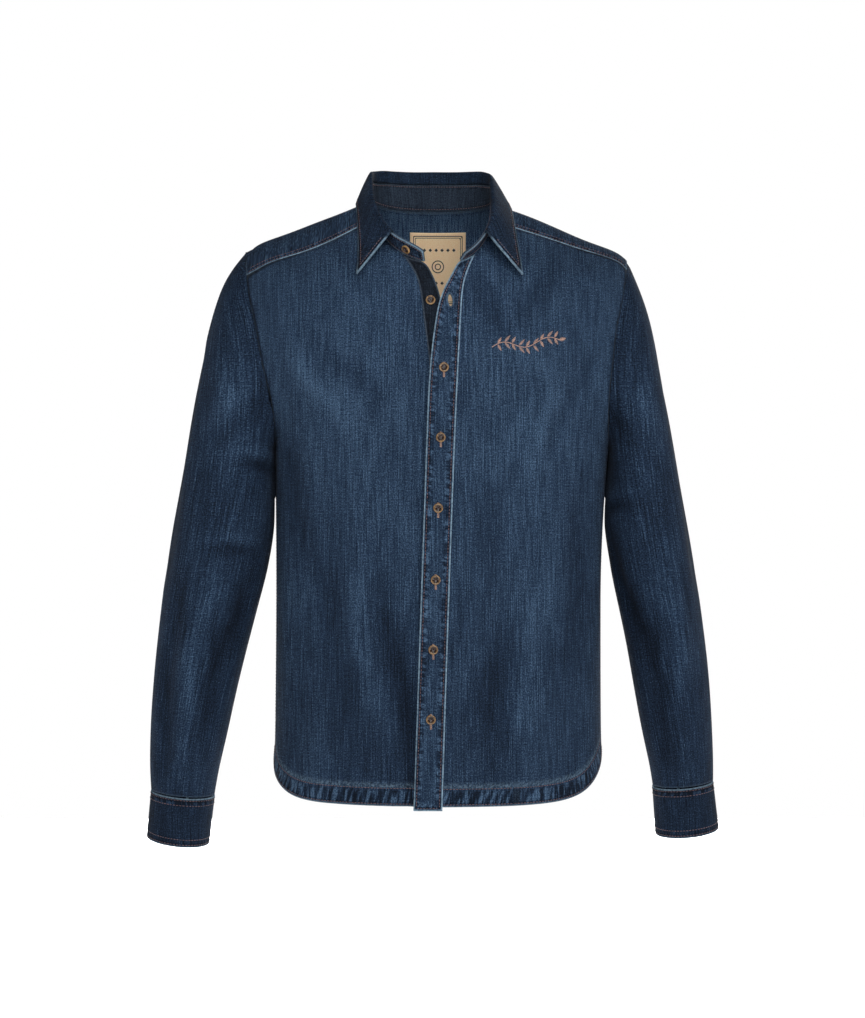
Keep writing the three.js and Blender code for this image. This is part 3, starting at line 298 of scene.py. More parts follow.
def with_creases(points, group):
    """The points in mm with the creases laid into them, and how far out each point went."""
    lift = np.zeros(len(points))
    if group == "plain":
        return points, lift
    if group == "body":
        away = around_body(points)
        for face, x0, z0, x1, z1, half_width, height in BODY_CREASES.values():
            there = soft_step(points[:, 1] * face, 5, 45)
            lift += there * crease(points[:, 0], points[:, 2], (x0, z0, x1, z1), half_width, height)
        lift *= 1 - soft_step(points[:, 2], -95, -45)
        # the placket's own width stays flat under its buttons
        placket = np.exp(-(((points[:, 0] - PLACKET_MIDDLE) / 24) ** 4)) * (points[:, 1] < 0)
        lift *= 1 - 0.9 * placket
        # the armholes are held by their seams
        lift *= 1 - soft_step(np.abs(points[:, 0]), 168, 186) * soft_step(points[:, 2], -330, -250)
    else:
        angle, away = around_arm(points, group)
        for a0, z0, a1, z1, half_width, height in ARM_CREASES[group].values():
            middle = (a0 + a1) / 2
            near = (angle - middle + 180) % 360 - 180 + middle
            ends = (a0 * SLEEVE_SCALE, z0, a1 * SLEEVE_SCALE, z1)
            lift += crease(near * SLEEVE_SCALE, points[:, 2], ends, half_width, height)
        lift *= 1 - soft_step(points[:, 2], -195, -150)
        lift *= soft_step(points[:, 2], -695, -650)
        # towards the body a sleeve has little room
        lift *= 1 - 0.7 * np.exp(-(((angle + 90) / 40) ** 2)) * soft_step(points[:, 2], -460, -380)
        # under the arm it lies against the body
        touch = soft_step(points[:, 2], -420, -370) * (1 - soft_step(points[:, 2], -300, -270))
        lift += 2.6 * touch * np.exp(-(((angle + 90) / 42) ** 2))
    return points + away * lift[:, None], lift


# ---------------------------------------------------------------- cloth pieces

RIM_ANGLE = math.radians(50)
OUTSIDE, INSIDE, RIM = 0, 1, 2


def flood(work, sharp):
    """Groups of faces that no sharp edge parts, the largest first."""
    work.faces.ensure_lookup_table()
    seen, groups = set(), []
    for start in work.faces:
        if start in seen:
            continue
        seen.add(start)
        group, queue = [], [start]
        while queue:
            face = queue.pop()
            group.append(face)
            for edge in face.edges:
                if edge in sharp:
                    continue
                for other in edge.link_faces:
                    if other not in seen:
                        seen.add(other)
                        queue.append(other)
        groups.append(group)
    return sorted(groups, key=lambda g: -sum(f.calc_area() for f in g))


def rounded(node_name, group, levels):
    """The node's wall, rounded by subdivision, with each face marked as outside, inside or rim."""
    work = bmesh.new()
    work.from_mesh(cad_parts[node_name].data)
    kept = work.edges.layers.float.new("crease_edge")
    bmesh.ops.remove_doubles(work, verts=work.verts, dist=1e-6)
    sharp = {e for e in work.edges if e.calc_face_angle(0) > RIM_ANGLE}
    groups = flood(work, sharp)
    for face in work.faces:
        face.material_index = RIM
    for faces, side in zip(groups[:2], (OUTSIDE, INSIDE)):
        for face in faces:
            face.material_index = side
    for faces in groups[2:]:
        own = set(faces)
        beside = {o.material_index for f in faces for e in f.edges for o in e.link_faces if o not in own}
        beside.discard(RIM)
        # a group that touches one side alone is a part of that side
        if len(beside) == 1:
            joined = groups[beside.pop()]
            joined += faces
            for face in faces:
                face.material_index = joined[0].material_index
    kinds = {e: {f.material_index for f in e.link_faces} for e in sharp}
    sharp = {e for e in sharp if len(kinds[e]) > 1 or RIM in kinds[e]}
    way = []
    for faces in groups[:2]:
        centres = np.array([f.calc_center_median()[:] for f in faces]) / MM
        normals = np.array([f.normal[:] for f in faces])
        areas = np.array([f.calc_area() for f in faces])
        away = around_arm(centres, group)[1] if group in AXES else around_body(centres)
        # the yoke and the collar also face up
        away[:, 2] += 0.4 * (group not in AXES)
        way.append(((away * normals).sum(1) * areas).sum())
    first_out = way[0] > way[1]
    for faces, side in zip(groups[:2], (OUTSIDE, INSIDE) if first_out else (INSIDE, OUTSIDE)):
        for face in faces:
            face.material_index = side
    for edge in sharp:
        edge[kept] = 1
    bmesh.ops.join_triangles(
        work,
        faces=work.faces,
        cmp_materials=True,
        angle_face_threshold=math.radians(30),
        angle_shape_threshold=math.radians(70),
    )
    for face in work.faces:
        face.smooth = True
    base = put(node_name + "_base", finished_mesh(work, node_name + "_base"))
    for _ in (OUTSIDE, INSIDE, RIM):
        base.data.materials.append(None)
    smooth = base.modifiers.new("smooth", "SUBSURF")
    smooth.levels = smooth.render_levels = levels
    smooth.boundary_smooth = "PRESERVE_CORNERS"
    made = bpy.data.meshes.new_from_object(base.evaluated_get(bpy.context.evaluated_depsgraph_get()))
    bpy.data.objects.remove(base)
    return made


def loops_of(data, side):
    """The rim of one side as closed loops of vertex numbers, and each vertex's way in from the rim."""
    work = bmesh.new()
    work.from_mesh(data)
    near = {}
    inward = {}
    for edge in work.edges:
        kinds = {f.material_index for f in edge.link_faces}
        if kinds == {side, RIM}:
            a, b = edge.verts
            near.setdefault(a.index, []).append(b.index)
            near.setdefault(b.index, []).append(a.index)
            for face in edge.link_faces:
                if face.material_index == side:
                    for v in (a, b):
                        step = face.calc_center_median() - (a.co + b.co) / 2
                        inward[v.index] = inward.get(v.index, Vector()) + step
    loops, seen = [], set()
    for start in near:
        if start in seen:
            continue
        loop, here, last = [], start, None
        while here is not None and here not in seen:
            seen.add(here)
            loop.append(here)
            step = [n for n in near[here] if n != last and n not in seen]
            last, here = here, step[0] if step else None
        loops.append(loop)
    work.free()
    return loops, inward


class Shell:
    """One cloth piece: its mesh, its rims and a way to find the nearest place on either side."""

    def __init__(self, node_name, group, levels):
        self.name, self.group = node_name, group
        self.data = rounded(node_name, group, levels)
        count = len(self.data.vertices)
        flat = np.empty(count * 3)
        self.data.vertices.foreach_get("co", flat)
        self.points, self.lift = with_creases(flat.reshape(-1, 3) / MM, group)
        if node_name in AXES:
            self.tuck_edge(("back", "yoke", "left_front", "right_front"), -345)
        if node_name == "inner_collar_stand":
            self.tuck_edge(("yoke",), -100)
        self.data.vertices.foreach_set("co", (self.points * MM).ravel())
        self.data.update()
        self.sides = {}
        self.rims = {}
        polygons = [(p.material_index, list(p.vertices)) for p in self.data.polygons]
        vertices = [Vector(p) for p in self.points]
        self.inner = sorted({v for m, f in polygons if m == INSIDE for v in f})
        for side in (OUTSIDE, INSIDE):
            faces = [f for m, f in polygons if m == side]
            self.sides[side] = BVHTree.FromPolygons(vertices, faces)
            self.rims[side] = loops_of(self.data, side)
        self.measure_rims()

    def tuck_edge(self, hosts, lowest, reach=8, overlap=0.7):
        """Draws an edge to the edges of its hosts, so that the seam is closed; reach and overlap in mm."""
        for i, place in enumerate(self.points):
            if place[2] < lowest:
                continue
            near = min((SHELLS[n].rim_tree.find(place) for n in hosts), key=lambda found: found[2])
            if near[2] < reach:
                way = (np.array(near[0]) - place) * (1 + overlap / max(near[2], overlap))
                self.points[i] = place + way * (1 - (near[2] / reach) ** 2)

    def measure_rims(self):
        """For each vertex the distance to the rim and the place along it, in mm."""
        places, runs = [], []
        for side in (OUTSIDE, INSIDE):
            for loop in self.rims[side][0]:
                line = self.points[loop + loop[:1]]
                steps = np.linalg.norm(np.diff(line, axis=0), axis=1)
                run = np.concatenate([[0], np.cumsum(steps)])
                for i, length in enumerate(steps):
                    for t in np.arange(0, 1, 1 / max(1, math.ceil(length / 1.5))):
                        places.append(line[i] + (line[i + 1] - line[i]) * t)
                        runs.append(run[i] + length * t)
        tree = KDTree(len(places))
        for i, place in enumerate(places):
            tree.insert(place, i)
        tree.balance()
        self.rim_tree, self.rim_places = tree, np.array(places)
        found = [tree.find(p)[1:] for p in self.points]
        self.to_rim = np.array([f[1] for f in found])
        self.along_rim = np.array([runs[f[0]] for f in found])
        self.rim_near = self.rim_places[[f[0] for f in found]]


CLOSE_ROUND = ("front_placket", "button_band", "neck_label")  # narrow pieces, rounded once more
SHELLS = {}
for name, group in {
    **dict.fromkeys(("back", "yoke", "left_front", "right_front", "front_placket", "button_band"), "body"),
    **dict.fromkeys(("collar_stand", "inner_collar_stand", "collar", "neck_label"), "plain"),
    **{f"right_{part}": "right_sleeve" for part in ("sleeve", "sleeve_placket", "cuff")},
    **{f"left_{part}": "left_sleeve" for part in ("sleeve", "sleeve_placket", "cuff")},
}.items():
    SHELLS[name] = Shell(name, group, 3 if name in CLOSE_ROUND else 2)


# ---------------------------------------------------------------- where the cloth is worn and rolled

# Paler and darker patches on the front faces: piece, x, z, half sizes in mm and how much.
TONE_PATCHES = {
    "right_chest": ("right_front", -90, -220, 70, 110, 0.05),
    "right_low": ("right_front", -90, -620, 120, 110, -0.12),
    "left_chest": ("left_front", 90, -260, 80, 120, 0.04),
    "left_low": ("left_front", 90, -600, 120, 130, -0.08),
    "right_upper_arm": ("right_sleeve", -228, -225, 30, 70, 0.08),
    "right_forearm": ("right_sleeve", -275, -540, 22, 110, 0.02),
    "left_upper_arm": ("left_sleeve", 232, -245, 26, 70, 0.03),
    "left_forearm": ("left_sleeve", 262, -500, 20, 100, 0.01),
}
# How much paler or darker than the middle tone each piece is drawn.
OTHER_TONE = -0.06
PIECE_TONE = {
    "left_front": 0.0,
    "right_front": 0.0,
    "front_placket": 0.0,
    "back": -0.02,
    "yoke": -0.04,
    "collar_stand": 0.12,
    # the button band darker still: more painted shade
    "button_band": -0.12,
    "collar": -0.2,
    "inner_collar_stand": -0.14,
    "right_sleeve": -0.13,
    "left_sleeve": -0.15,
    "right_cuff": -0.22,
    "left_cuff": -0.22,
}
HEM_PIECES = ("back", "left_front", "right_front")
HEM_TOP = -632  # height in mm at which the hem's curve meets the side seams
# painted light and shade of the creases: how much paler each mm of lift draws the cloth
TONE_PER_LIFT = 0.03


# Radii in mm at which the cloth round the chest and round the neck is laid flat.
CHEST_REACH, CHEST_RADIUS, NECK_RADIUS = 225, 210, 75
SLEEVE_SLOPE = 1.04  # a sleeve hangs at a slant, so it is longer than it is high
BACK_CLOTH = 1000  # mm; the back is cut from another part of the cloth than the fronts
YOKE_FRONT, YOKE_BACK, YOKE_END = -30, 60, 178  # y of the yoke's seams and x of its armholes


def cloth_coordinates(shell):
    """The place in the cloth in mm: across the warp, then along it."""
    p = shell.points
    if shell.group in AXES:
        round_arm = around_arm(p, shell.group)[0] * SLEEVE_SCALE
        return np.stack([round_arm, p[:, 2] * SLEEVE_SLOPE, p[:, 1] * 0], 1)
    if shell.name == "yoke":
        return np.stack([p[:, 0], p[:, 1] - p[:, 2], p[:, 1] * 0], 1)
    if shell.name in ("collar", "collar_stand", "inner_collar_stand"):
        return np.stack([np.arctan2(p[:, 0], -p[:, 1]) * NECK_RADIUS, p[:, 2], p[:, 1] * 0], 1)
    round_body = np.arcsin(np.clip(p[:, 0] / CHEST_REACH, -0.98, 0.98)) * CHEST_RADIUS
    return np.stack([round_body + BACK_CLOTH * (shell.name == "back"), p[:, 2], p[:, 1] * 0], 1)


def hem_share(shell):
    """1 where the nearest rim is the turned-up hem."""
    if shell.name not in HEM_PIECES:
        return np.zeros(len(shell.points))
    rim = shell.rim_near
    beside_placket = (np.abs(rim[:, 0] - PLACKET_MIDDLE) < 34) & (rim[:, 1] < 0) & (rim[:, 2] > -684)
    return np.where((rim[:, 2] < HEM_TOP) & ~beside_placket, 1.0, 0.0)


def tone_with_painted_shade(shell):
    """How pale each place is drawn, 0 dark and 1 pale: faded tone with painted shade along the armholes,
    at the stand's seam and in the creases' troughs, and painted light on their ridges.
    """
    tone = np.full(len(shell.points), 0.5 + PIECE_TONE.get(shell.name, OTHER_TONE))
    for piece, x, z, half_x, half_z, amount in TONE_PATCHES.values():
        if piece == shell.name:
            far = ((shell.points[:, 0] - x) / half_x) ** 2 + ((shell.points[:, 2] - z) / half_z) ** 2
            tone += amount * np.exp(-far) * (shell.points[:, 1] < 20)
    if shell.name == "yoke":
        # the weft side of the twill is paler than its face
        tone[shell.inner] += 0.17
        # the stand's seam shades its neck edge
        tone -= 0.35 * by_stand(shell) * np.exp(-((shell.to_rim / 2.2) ** 2))
    if shell.name in HEM_PIECES:
        # painted shadow along the armhole's seam, where the sleeve's head lies deeper than the body's edge
        at_armhole = (np.abs(shell.rim_near[:, 0]) > 160) & (shell.rim_near[:, 2] > -340)
        tone -= 0.45 * at_armhole * np.exp(-((shell.to_rim / 1.8) ** 2))
    # painted shade in the creases' troughs and painted light on their ridges
    tone += TONE_PER_LIFT * shell.lift
    if shell.name in AXES:
        # painted shadow on the sleeve's head along the armhole, where it lies deeper than the armhole's
        # edge
        at_head = shell.rim_near[:, 2] > -400
        tone -= 0.5 * at_head * np.exp(-((shell.to_rim / 3.5) ** 2))
    return tone


# How pale each piece's own edge is rubbed.
OTHER_RUB = 0.12
RUB = {
    "front_placket": 1.0,
    "yoke": 1.0,
    "collar": 0.7,
    "collar_stand": 0.25,
    "inner_collar_stand": 0.6,
    "button_band": 0.45,
    "right_cuff": 0.8,
    "left_cuff": 0.8,
    "right_sleeve_placket": 0.7,
    "left_sleeve_placket": 0.7,
}


def by_stand(shell):
    """Whether each vertex has its nearest rim at the collar's stand."""
    return np.array([SHELLS["collar_stand"].rim_tree.find(p)[2] < 12 for p in shell.rim_near])


OPEN_BUTTONHOLE = (12.8, -124)  # x and z in mm


def at_buttonhole(place):
    return abs(place[0] - OPEN_BUTTONHOLE[0]) < 7 and abs(place[2] - OPEN_BUTTONHOLE[1]) < 14


def rubbed_share(shell):
    """How pale the nearest edge is rubbed: the yoke more at its front seam, the panels only at the hem."""
    rub = np.full(len(shell.points), RUB.get(shell.name, OTHER_RUB))
    if shell.name == "yoke":
        rim = shell.rim_near
        rub = np.where((np.abs(rim[:, 0]) > YOKE_END) | (rim[:, 1] > YOKE_BACK), 0.45, 1.0)
        rub = np.where(by_stand(shell), 0.08, rub)
    if shell.name == "collar":
        rub = np.where(by_stand(shell), 0.05, rub)
    if shell.name == "inner_collar_stand":
        rub = np.where(shell.points[:, 1] > YOKE_FRONT, 0.1, rub)
    if shell.name == "front_placket":
        rub = np.where([at_buttonhole(p) for p in shell.rim_near], 0.25, rub)
    if shell.name in ("right_cuff", "left_cuff"):
        rub = np.where(shell.rim_near[:, 2] > -700, 0.9, 0.35)
    return np.maximum(rub, 0.4 * hem_share(shell))


def write_attributes(shell):
    """What the denim reads at each vertex."""
    for label, kind, field, values in (
        ("cloth", "FLOAT_VECTOR", "vector", cloth_coordinates(shell)),
        ("seam", "FLOAT_VECTOR", "vector", np.stack([shell.to_rim, shell.along_rim, hem_share(shell)], 1)),
        ("wash_and_shade", "FLOAT", "value", tone_with_painted_shade(shell)),
        ("rub", "FLOAT", "value", rubbed_share(shell)),
    ):
        made = shell.data.attributes.new(label, kind, "POINT")
        made.data.foreach_set(field, values.ravel())


# ---------------------------------------------------------------- materials


# Noises of the denim: what they follow, their size across and along it in mm, and their detail.
YARN_PATTERNS = {
    "starts": ("cloth", 2.2, 900.0, 0.0),
    "streaks": ("streak", 1.3, 38.0, 3.0),
    "slubs": ("cloth", 16.0, 1.6, 1.0),
    "speckle": ("cloth", 1.2, 1.7, 1.0),
    "clouds": ("cloth", 38.0, 70.0, 3.0),
    "hem_rope": ("rope", 4.6, 26.0, 1.0),
    "seam_rope": ("rope", 4.4, 14.0, 1.0),
    "rub": ("rope", 3.0, 3.0, 2.0),
}
STREAK_SHIFT = 260.0  # mm by which streaks start higher or lower than their neighbours

# Bands beside a rim, in mm from it: from where to where each comes in, and goes out.
RIM_BANDS = {
    # painted shade in the groove beside the stitching
    "groove": (1.8, 2.8, 3.6, 5.4),
    "hem": (1.0, 4.0, 15.0, 21.0),
    "seam": (1.2, 2.6, 6.0, 11.0),
    "above_hem": (20.0, 21.5, 22.0, 29.0),
}


SOFTLY = {"interpolation_type": "SMOOTHSTEP"}


def denim(name, dark, middle, pale, worn):
    """Indigo cotton twill. Warp streaks, slubs and speckle come from the uneven dye of ring-spun yarn,
    the pale lines and ropes along the seams from washing after sewing."""
    material, tree = new_material(name)
    cloth = add(tree, "Attribute", out="Vector", attribute_name="cloth")
    seam = add(tree, "Attribute", out="Vector", attribute_name="seam")
    tone = add(tree, "Attribute", out="Fac", attribute_name="wash_and_shade")
    rubs = add(tree, "Attribute", out="Fac", attribute_name="rub")
    to_rim, along, hem = add(tree, "SeparateXYZ", [seam]).node.outputs

    # the puckers between two rows of stitching slant
    slant = add(tree, "Math", [to_rim, 0.18, along], operation="MULTIPLY_ADD")
    places = {"cloth": cloth, "rope": add(tree, "CombineXYZ", [slant, to_rim, 0.0])}
    drawn = {}
    for label, (source, across, lengthwise, detail) in YARN_PATTERNS.items():
        scale = (1 / across, 1 / lengthwise, 1.0)
        spot = add(tree, "VectorMath", [places[source], scale], operation="MULTIPLY")
        noise = {"Vector": spot, "Scale": 1.0, "Detail": detail, "Roughness": 0.6}
        drawn[label] = add(tree, "TexNoise", noise)
        if label == "starts":
            shift = add(tree, "Math", [drawn[label], STREAK_SHIFT], operation="MULTIPLY")
            shift = add(tree, "CombineXYZ", [0.0, shift, 0.0])
            places["streak"] = add(tree, "VectorMath", [cloth, shift], operation="ADD")

    band = {}
    for label, (come, full, leave, gone) in RIM_BANDS.items():
        begins = add(tree, "MapRange", [to_rim, come, full, 0.0, 1.0], **SOFTLY)
        ends = add(tree, "MapRange", [to_rim, leave, gone, 1.0, 0.0], **SOFTLY)
        band[label] = add(tree, "Math", [begins, ends], operation="MULTIPLY")
    no_hem = add(tree, "Math", [1.0, hem], operation="SUBTRACT")
    for label, share in (("groove", rubs), ("hem", hem), ("seam", no_hem), ("above_hem", hem)):
        band[label] = add(tree, "Math", [band[label], share], operation="MULTIPLY")
    ropes = {}
    for label in ("hem", "seam"):
        rolls = add(tree, "MapRange", [drawn[label + "_rope"], 0.38, 0.62, -1.0, 1.0], **SOFTLY)
        ropes[label] = add(tree, "Math", [rolls, band[label]], operation="MULTIPLY")
    rubbed_rope = add(tree, "Math", [ropes["seam"], rubs], operation="MULTIPLY")

    # the uneven dye, painted shade in the groove where the thread pulls the cloth in, and the ropes
    for part, share in (
        (drawn["streaks"], 1.2),
        (drawn["slubs"], 0.24),
        (drawn["speckle"], 1.05),
        (drawn["clouds"], 0.22),
        (band["groove"], -0.3),
        (ropes["hem"], 0.24),
        (rubbed_rope, 0.2),
    ):
        tone = add(tree, "Math", [part, share, tone], operation="MULTIPLY_ADD")
    # the noises lie about 0.5, so this brings the tone back to its middle
    tone = add(tree, "Math", [tone, 1.37], operation="SUBTRACT")
    colour = add(tree, "ValToRGB", [tone], stops=[(0.12, dark), (0.5, middle), (0.95, pale)])

    # the folded edge and the line above the hem are rubbed pale, here more and there less
    edge = add(tree, "MapRange", [to_rim, 0.8, 2.0, 1.0, 0.0], **SOFTLY)
    uneven = add(tree, "MapRange", [drawn["rub"], 0.3, 0.6, 0.35, 1.0], **SOFTLY)
    edge = add(tree, "Math", [edge, uneven], operation="MULTIPLY")
    edge = add(tree, "Math", [edge, rubs], operation="MULTIPLY")
    patchy = add(tree, "MapRange", [drawn["rub"], 0.4, 0.65, 0.1, 1.0], **SOFTLY)
    line = add(tree, "Math", [band["above_hem"], patchy], operation="MULTIPLY")
    rubbed = add(tree, "Math", [line, 0.3, edge], operation="MULTIPLY_ADD")
    # the colour sockets of this node are its inputs 6 and 7 and its output 2
    mixed = add(tree, "Mix", {0: rubbed, 6: colour, 7: linear(worn)}, out=2, data_type="RGBA")

    # relief in mm: the twill's slant (drawn at 2 mm, about twice the real pitch), yarns and ropes
    spot = add(tree, "VectorMath", [cloth, (0.5, 0.32, 0.0)], operation="MULTIPLY")
    twill = {"Vector": spot, "Scale": 0.5, "Distortion": 0.6, "Detail": 1.0, "Detail Scale": 1.0}
    twill = add(tree, "TexWave", twill, out="Fac", wave_type="BANDS", bands_direction="DIAGONAL")
    relief = add(tree, "MapRange", [to_rim, 0.0, 1.6, -0.6, 0.0], **SOFTLY)
    for part, height in (
        (twill, 0.05),
        (drawn["streaks"], 0.22),
        (drawn["speckle"], 0.3),
        (ropes["hem"], 0.6),
        (ropes["seam"], 0.28),
    ):
        relief = add(tree, "Math", [part, height, relief], operation="MULTIPLY_ADD")
    bump = add(tree, "Bump", {"Height": relief, "Distance": MM, "Strength": 0.8})
    cotton = {"Base Color": mixed, "Normal": bump, "Roughness": 0.86, "IOR": 1.45}
    cotton.update({"Specular IOR Level": 0.12, "Sheen Weight": 0.02, "Sheen Roughness": 0.5})
    add(tree, "OutputMaterial", [add(tree, "BsdfPrincipled", cotton)])
    return material


WASHED = denim("ring_spun_indigo_denim_stonewashed", "0E1622", "283A52", "617F9E", "98B6CC")
# darker denim as painted shade: the button band and the stand's front ends lie in shade at the open neck
DARK_DENIM_PAINTED_SHADE = denim("indigo_denim_darker_for_painted_shade", "0E131A", "1F2733", "414F60", "6C7C8E")


def thread_material(name, scale, tones, roughness, sheen, relief):
    """Twisted thread: its fuzz and twist make each stitch uneven in tone."""
    material, tree = new_material(name)
    place = add(tree, "TexCoord", out="Object")
    grain = add(tree, "TexNoise", {"Vector": place, "Scale": scale, "Detail": 1.0})
    shade = add(tree, "ValToRGB", [grain], stops=list(zip((0.3, 0.7), tones)))
    bump = add(tree, "Bump", {"Height": grain, "Distance": 0.0002, "Strength": relief})
    strands = {"Base Color": shade, "Normal": bump, "Roughness": roughness, "Sheen Weight": sheen}
    add(tree, "OutputMaterial", [add(tree, "BsdfPrincipled", strands)])
    return material


# Core-spun topstitching thread, rust brown, dull and fuzzy.
RUST, COPPER = ("443438", "846468"), ("A8826E", "E0B8A2")
THREAD = thread_material("corespun_polyester_cotton_thread_rust", 700.0, RUST, 0.6, 0.2, 0.5)
# Embroidery thread in dull copper: smooth and a little glossy, so the leaves catch the light.
EMBROIDERY = thread_material("rayon_embroidery_thread_copper", 900.0, COPPER, 0.42, 0.1, 0.0)

# ---------------------------------------------------------------- stitching


def stitch_shape():
    """One stitch of unit length, width and height with a few faces, as points and faces."""
    work = bmesh.new()
    bmesh.ops.create_uvsphere(work, u_segments=6, v_segments=4, radius=0.5)
    points = np.array([v.co[:] for v in work.verts])[:, [2, 0, 1]]
    faces = [[v.index for v in f.verts] for f in work.faces]
    work.free()
    return points, faces


STITCH_POINTS, STITCH_FACES = stitch_shape()


STITCH_THICKNESS, STITCH_HEIGHT = 0.8, 0.18  # shares of its width


def sew(name, stitches, material=THREAD):
    """One piece of all the stitches given as place, direction, normal, length and width in mm."""
    points, faces = [], []
    for i, (place, along, normal, length, width) in enumerate(stitches):
        along = np.array(along) / np.linalg.norm(along)
        normal = np.array(normal) - along * np.dot(normal, along)
        normal /= max(np.linalg.norm(normal), 1e-6)
        side = np.cross(normal, along)
        turned = np.stack([along * length, side * width, normal * width * STITCH_THICKNESS])
        points.append(STITCH_POINTS @ turned + np.array(place) + normal * width * STITCH_HEIGHT)
        faces += [[v + i * len(STITCH_POINTS) for v in f] for f in STITCH_FACES]
    data = bpy.data.meshes.new(name)
    data.from_pydata(np.concatenate(points) * MM, [], faces)
    data.polygons.foreach_set("use_smooth", [True] * len(data.polygons))
    data.materials.append(material)
    face_outward(data)
    piece = put(name, data)
    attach(piece, "root")


def rim_row(shell, side, keep, inset, pitch, length, width):
    """Stitches that follow the rim inset mm inside it, where keep(place, direction) says so."""
    stitches = []
    loops, inward = shell.rims[side]
    for loop in loops:
        line = shell.points[loop + loop[:1]]
        ways = np.array([inward[i][:] for i in loop + loop[:1]])
        run = np.concatenate([[0], np.cumsum(np.linalg.norm(np.diff(line, axis=0), axis=1))])
        at = np.arange(0, run[-1], pitch)
        places, ins = (np.stack([np.interp(at, run, v[:, k]) for k in range(3)], 1) for v in (line, ways))
        ahead = np.roll(places, -2, axis=0) - np.roll(places, 2, axis=0)
        row = []
        for place, way, direction in zip(places, ins, ahead):
            direction = direction / max(np.linalg.norm(direction), 1e-6)
            way = way - direction * np.dot(way, direction)
            way = way / max(np.linalg.norm(way), 1e-9)
            if not keep(place, direction):
                row.append(None)
                continue
            found, normal, _, _ = shell.sides[side].find_nearest(Vector(place + way * inset))
            off = shell.rim_tree.find(found)[2]
            row.append((np.array(found), np.array(normal)) if off > inset * 0.86 else None)
        for one, two in zip(row, row[1:]):
            if one is None or two is None:
                continue
            direction = two[0] - one[0]
            step = np.linalg.norm(direction)
            if 0.35 * pitch < step < 1.8 * pitch:
                stitches.append(((one[0] + two[0]) / 2, direction, one[1], length * step / pitch, width))
    return stitches


def everywhere(place, direction):
    return True


def along_placket(place, direction):
    return abs(direction[2]) > 0.75 and not at_buttonhole(place)


def at_placket_end(place, direction):
    return place[2] < -640 and abs(direction[2]) < 0.75


def at_hem(place, direction):
    return place[2] < HEM_TOP and not (abs(place[0] - PLACKET_MIDDLE) < 36 and abs(direction[2]) > 0.7)


def at_yoke_seam(place, direction):
    """The yoke's seams with the fronts and the back, not its neck or its armholes."""
    return abs(direction[0]) > 0.55 and not YOKE_FRONT <= place[1] <= YOKE_BACK


def at_side_seam(place, direction):
    return -625 < place[2] < -270 and abs(place[0]) > 120


def at_leaf_edge(place, direction):
    """The collar's free edge, not the one at the top of the stand."""
    return SHELLS["collar_stand"].rim_tree.find(place)[2] > 12


# Stitches' pitch, length and width in mm.
USUAL, LONG, FINE = (3.6, 2.8, 0.95), (3.8, 2.8, 0.95), (3.2, 2.4, 0.85)

# Rows of stitching: the pieces, their side, the insets from the rim in mm, where, and the stitches' size.
SEAMS = {
    "placket_stitching": [(["front_placket"], OUTSIDE, [3.4], along_placket, USUAL)],
    "hem_stitching": [
        (HEM_PIECES, OUTSIDE, [2.6, 20.0], at_hem, USUAL),
        (["front_placket"], OUTSIDE, [3.0], at_placket_end, USUAL),
    ],
    "cuff_stitching": [(["right_cuff", "left_cuff"], OUTSIDE, [2.6, 8.4], everywhere, USUAL)],
    "sleeve_placket_stitching": [
        (["right_sleeve_placket", "left_sleeve_placket"], OUTSIDE, [2.4], everywhere, USUAL)
    ],
    "yoke_stitching": [(["yoke"], OUTSIDE, [2.8, 7.4], at_yoke_seam, USUAL)],
    "side_seam_stitching": [(["back"], OUTSIDE, [2.4, 7.6], at_side_seam, LONG)],
    "collar_stitching": [(["collar"], OUTSIDE, [5.0], at_leaf_edge, USUAL)],
    "stand_stitching": [
        (["collar_stand"], INSIDE, [2.4], everywhere, FINE),
        (["inner_collar_stand"], OUTSIDE, [2.4], everywhere, FINE),
    ],
}
for seam, rows in SEAMS.items():
    stitches = []
    for names, side, insets, keep, size in rows:
        for name in names:
            for inset in insets:
                stitches += rim_row(SHELLS[name], side, keep, inset, *size)
    sew(seam, stitches)

# ---------------------------------------------------------------- the chest ornament

SPRIG_START, SPRIG_END = (60, -177), (136, -168)  # x and z in mm
STEM_STITCHES, LEAF_PAIRS = 46, 9


def on_front(x, z):
    """The place and normal on the left front that lie straight behind x and z in mm."""
    chest = SHELLS["left_front"].sides[OUTSIDE]
    found, normal, _, _ = chest.ray_cast(Vector((x, -300, z)), Vector((0, 1, 0)))
    return np.array(found), np.array(normal)


def satin(a, b, half_width, steps):
    """Stitches laid side by side across a leaf from a to b."""
    a, b = np.array(a, float), np.array(b, float)
    along = (b - a) / np.linalg.norm(b - a)
    across = np.array([-along[1], along[0]])
    made = []
    for i in range(steps):
        t = (i + 0.5) / steps
        reach = half_width * math.sin(math.pi * t**0.75)
        spot = a + (b - a) * t
        one, normal = on_front(*(spot - across * reach))
        two, _ = on_front(*(spot + across * reach))
        made.append(((one + two) / 2, two - one, normal, np.linalg.norm(two - one) + 0.5, 0.9))
    return made


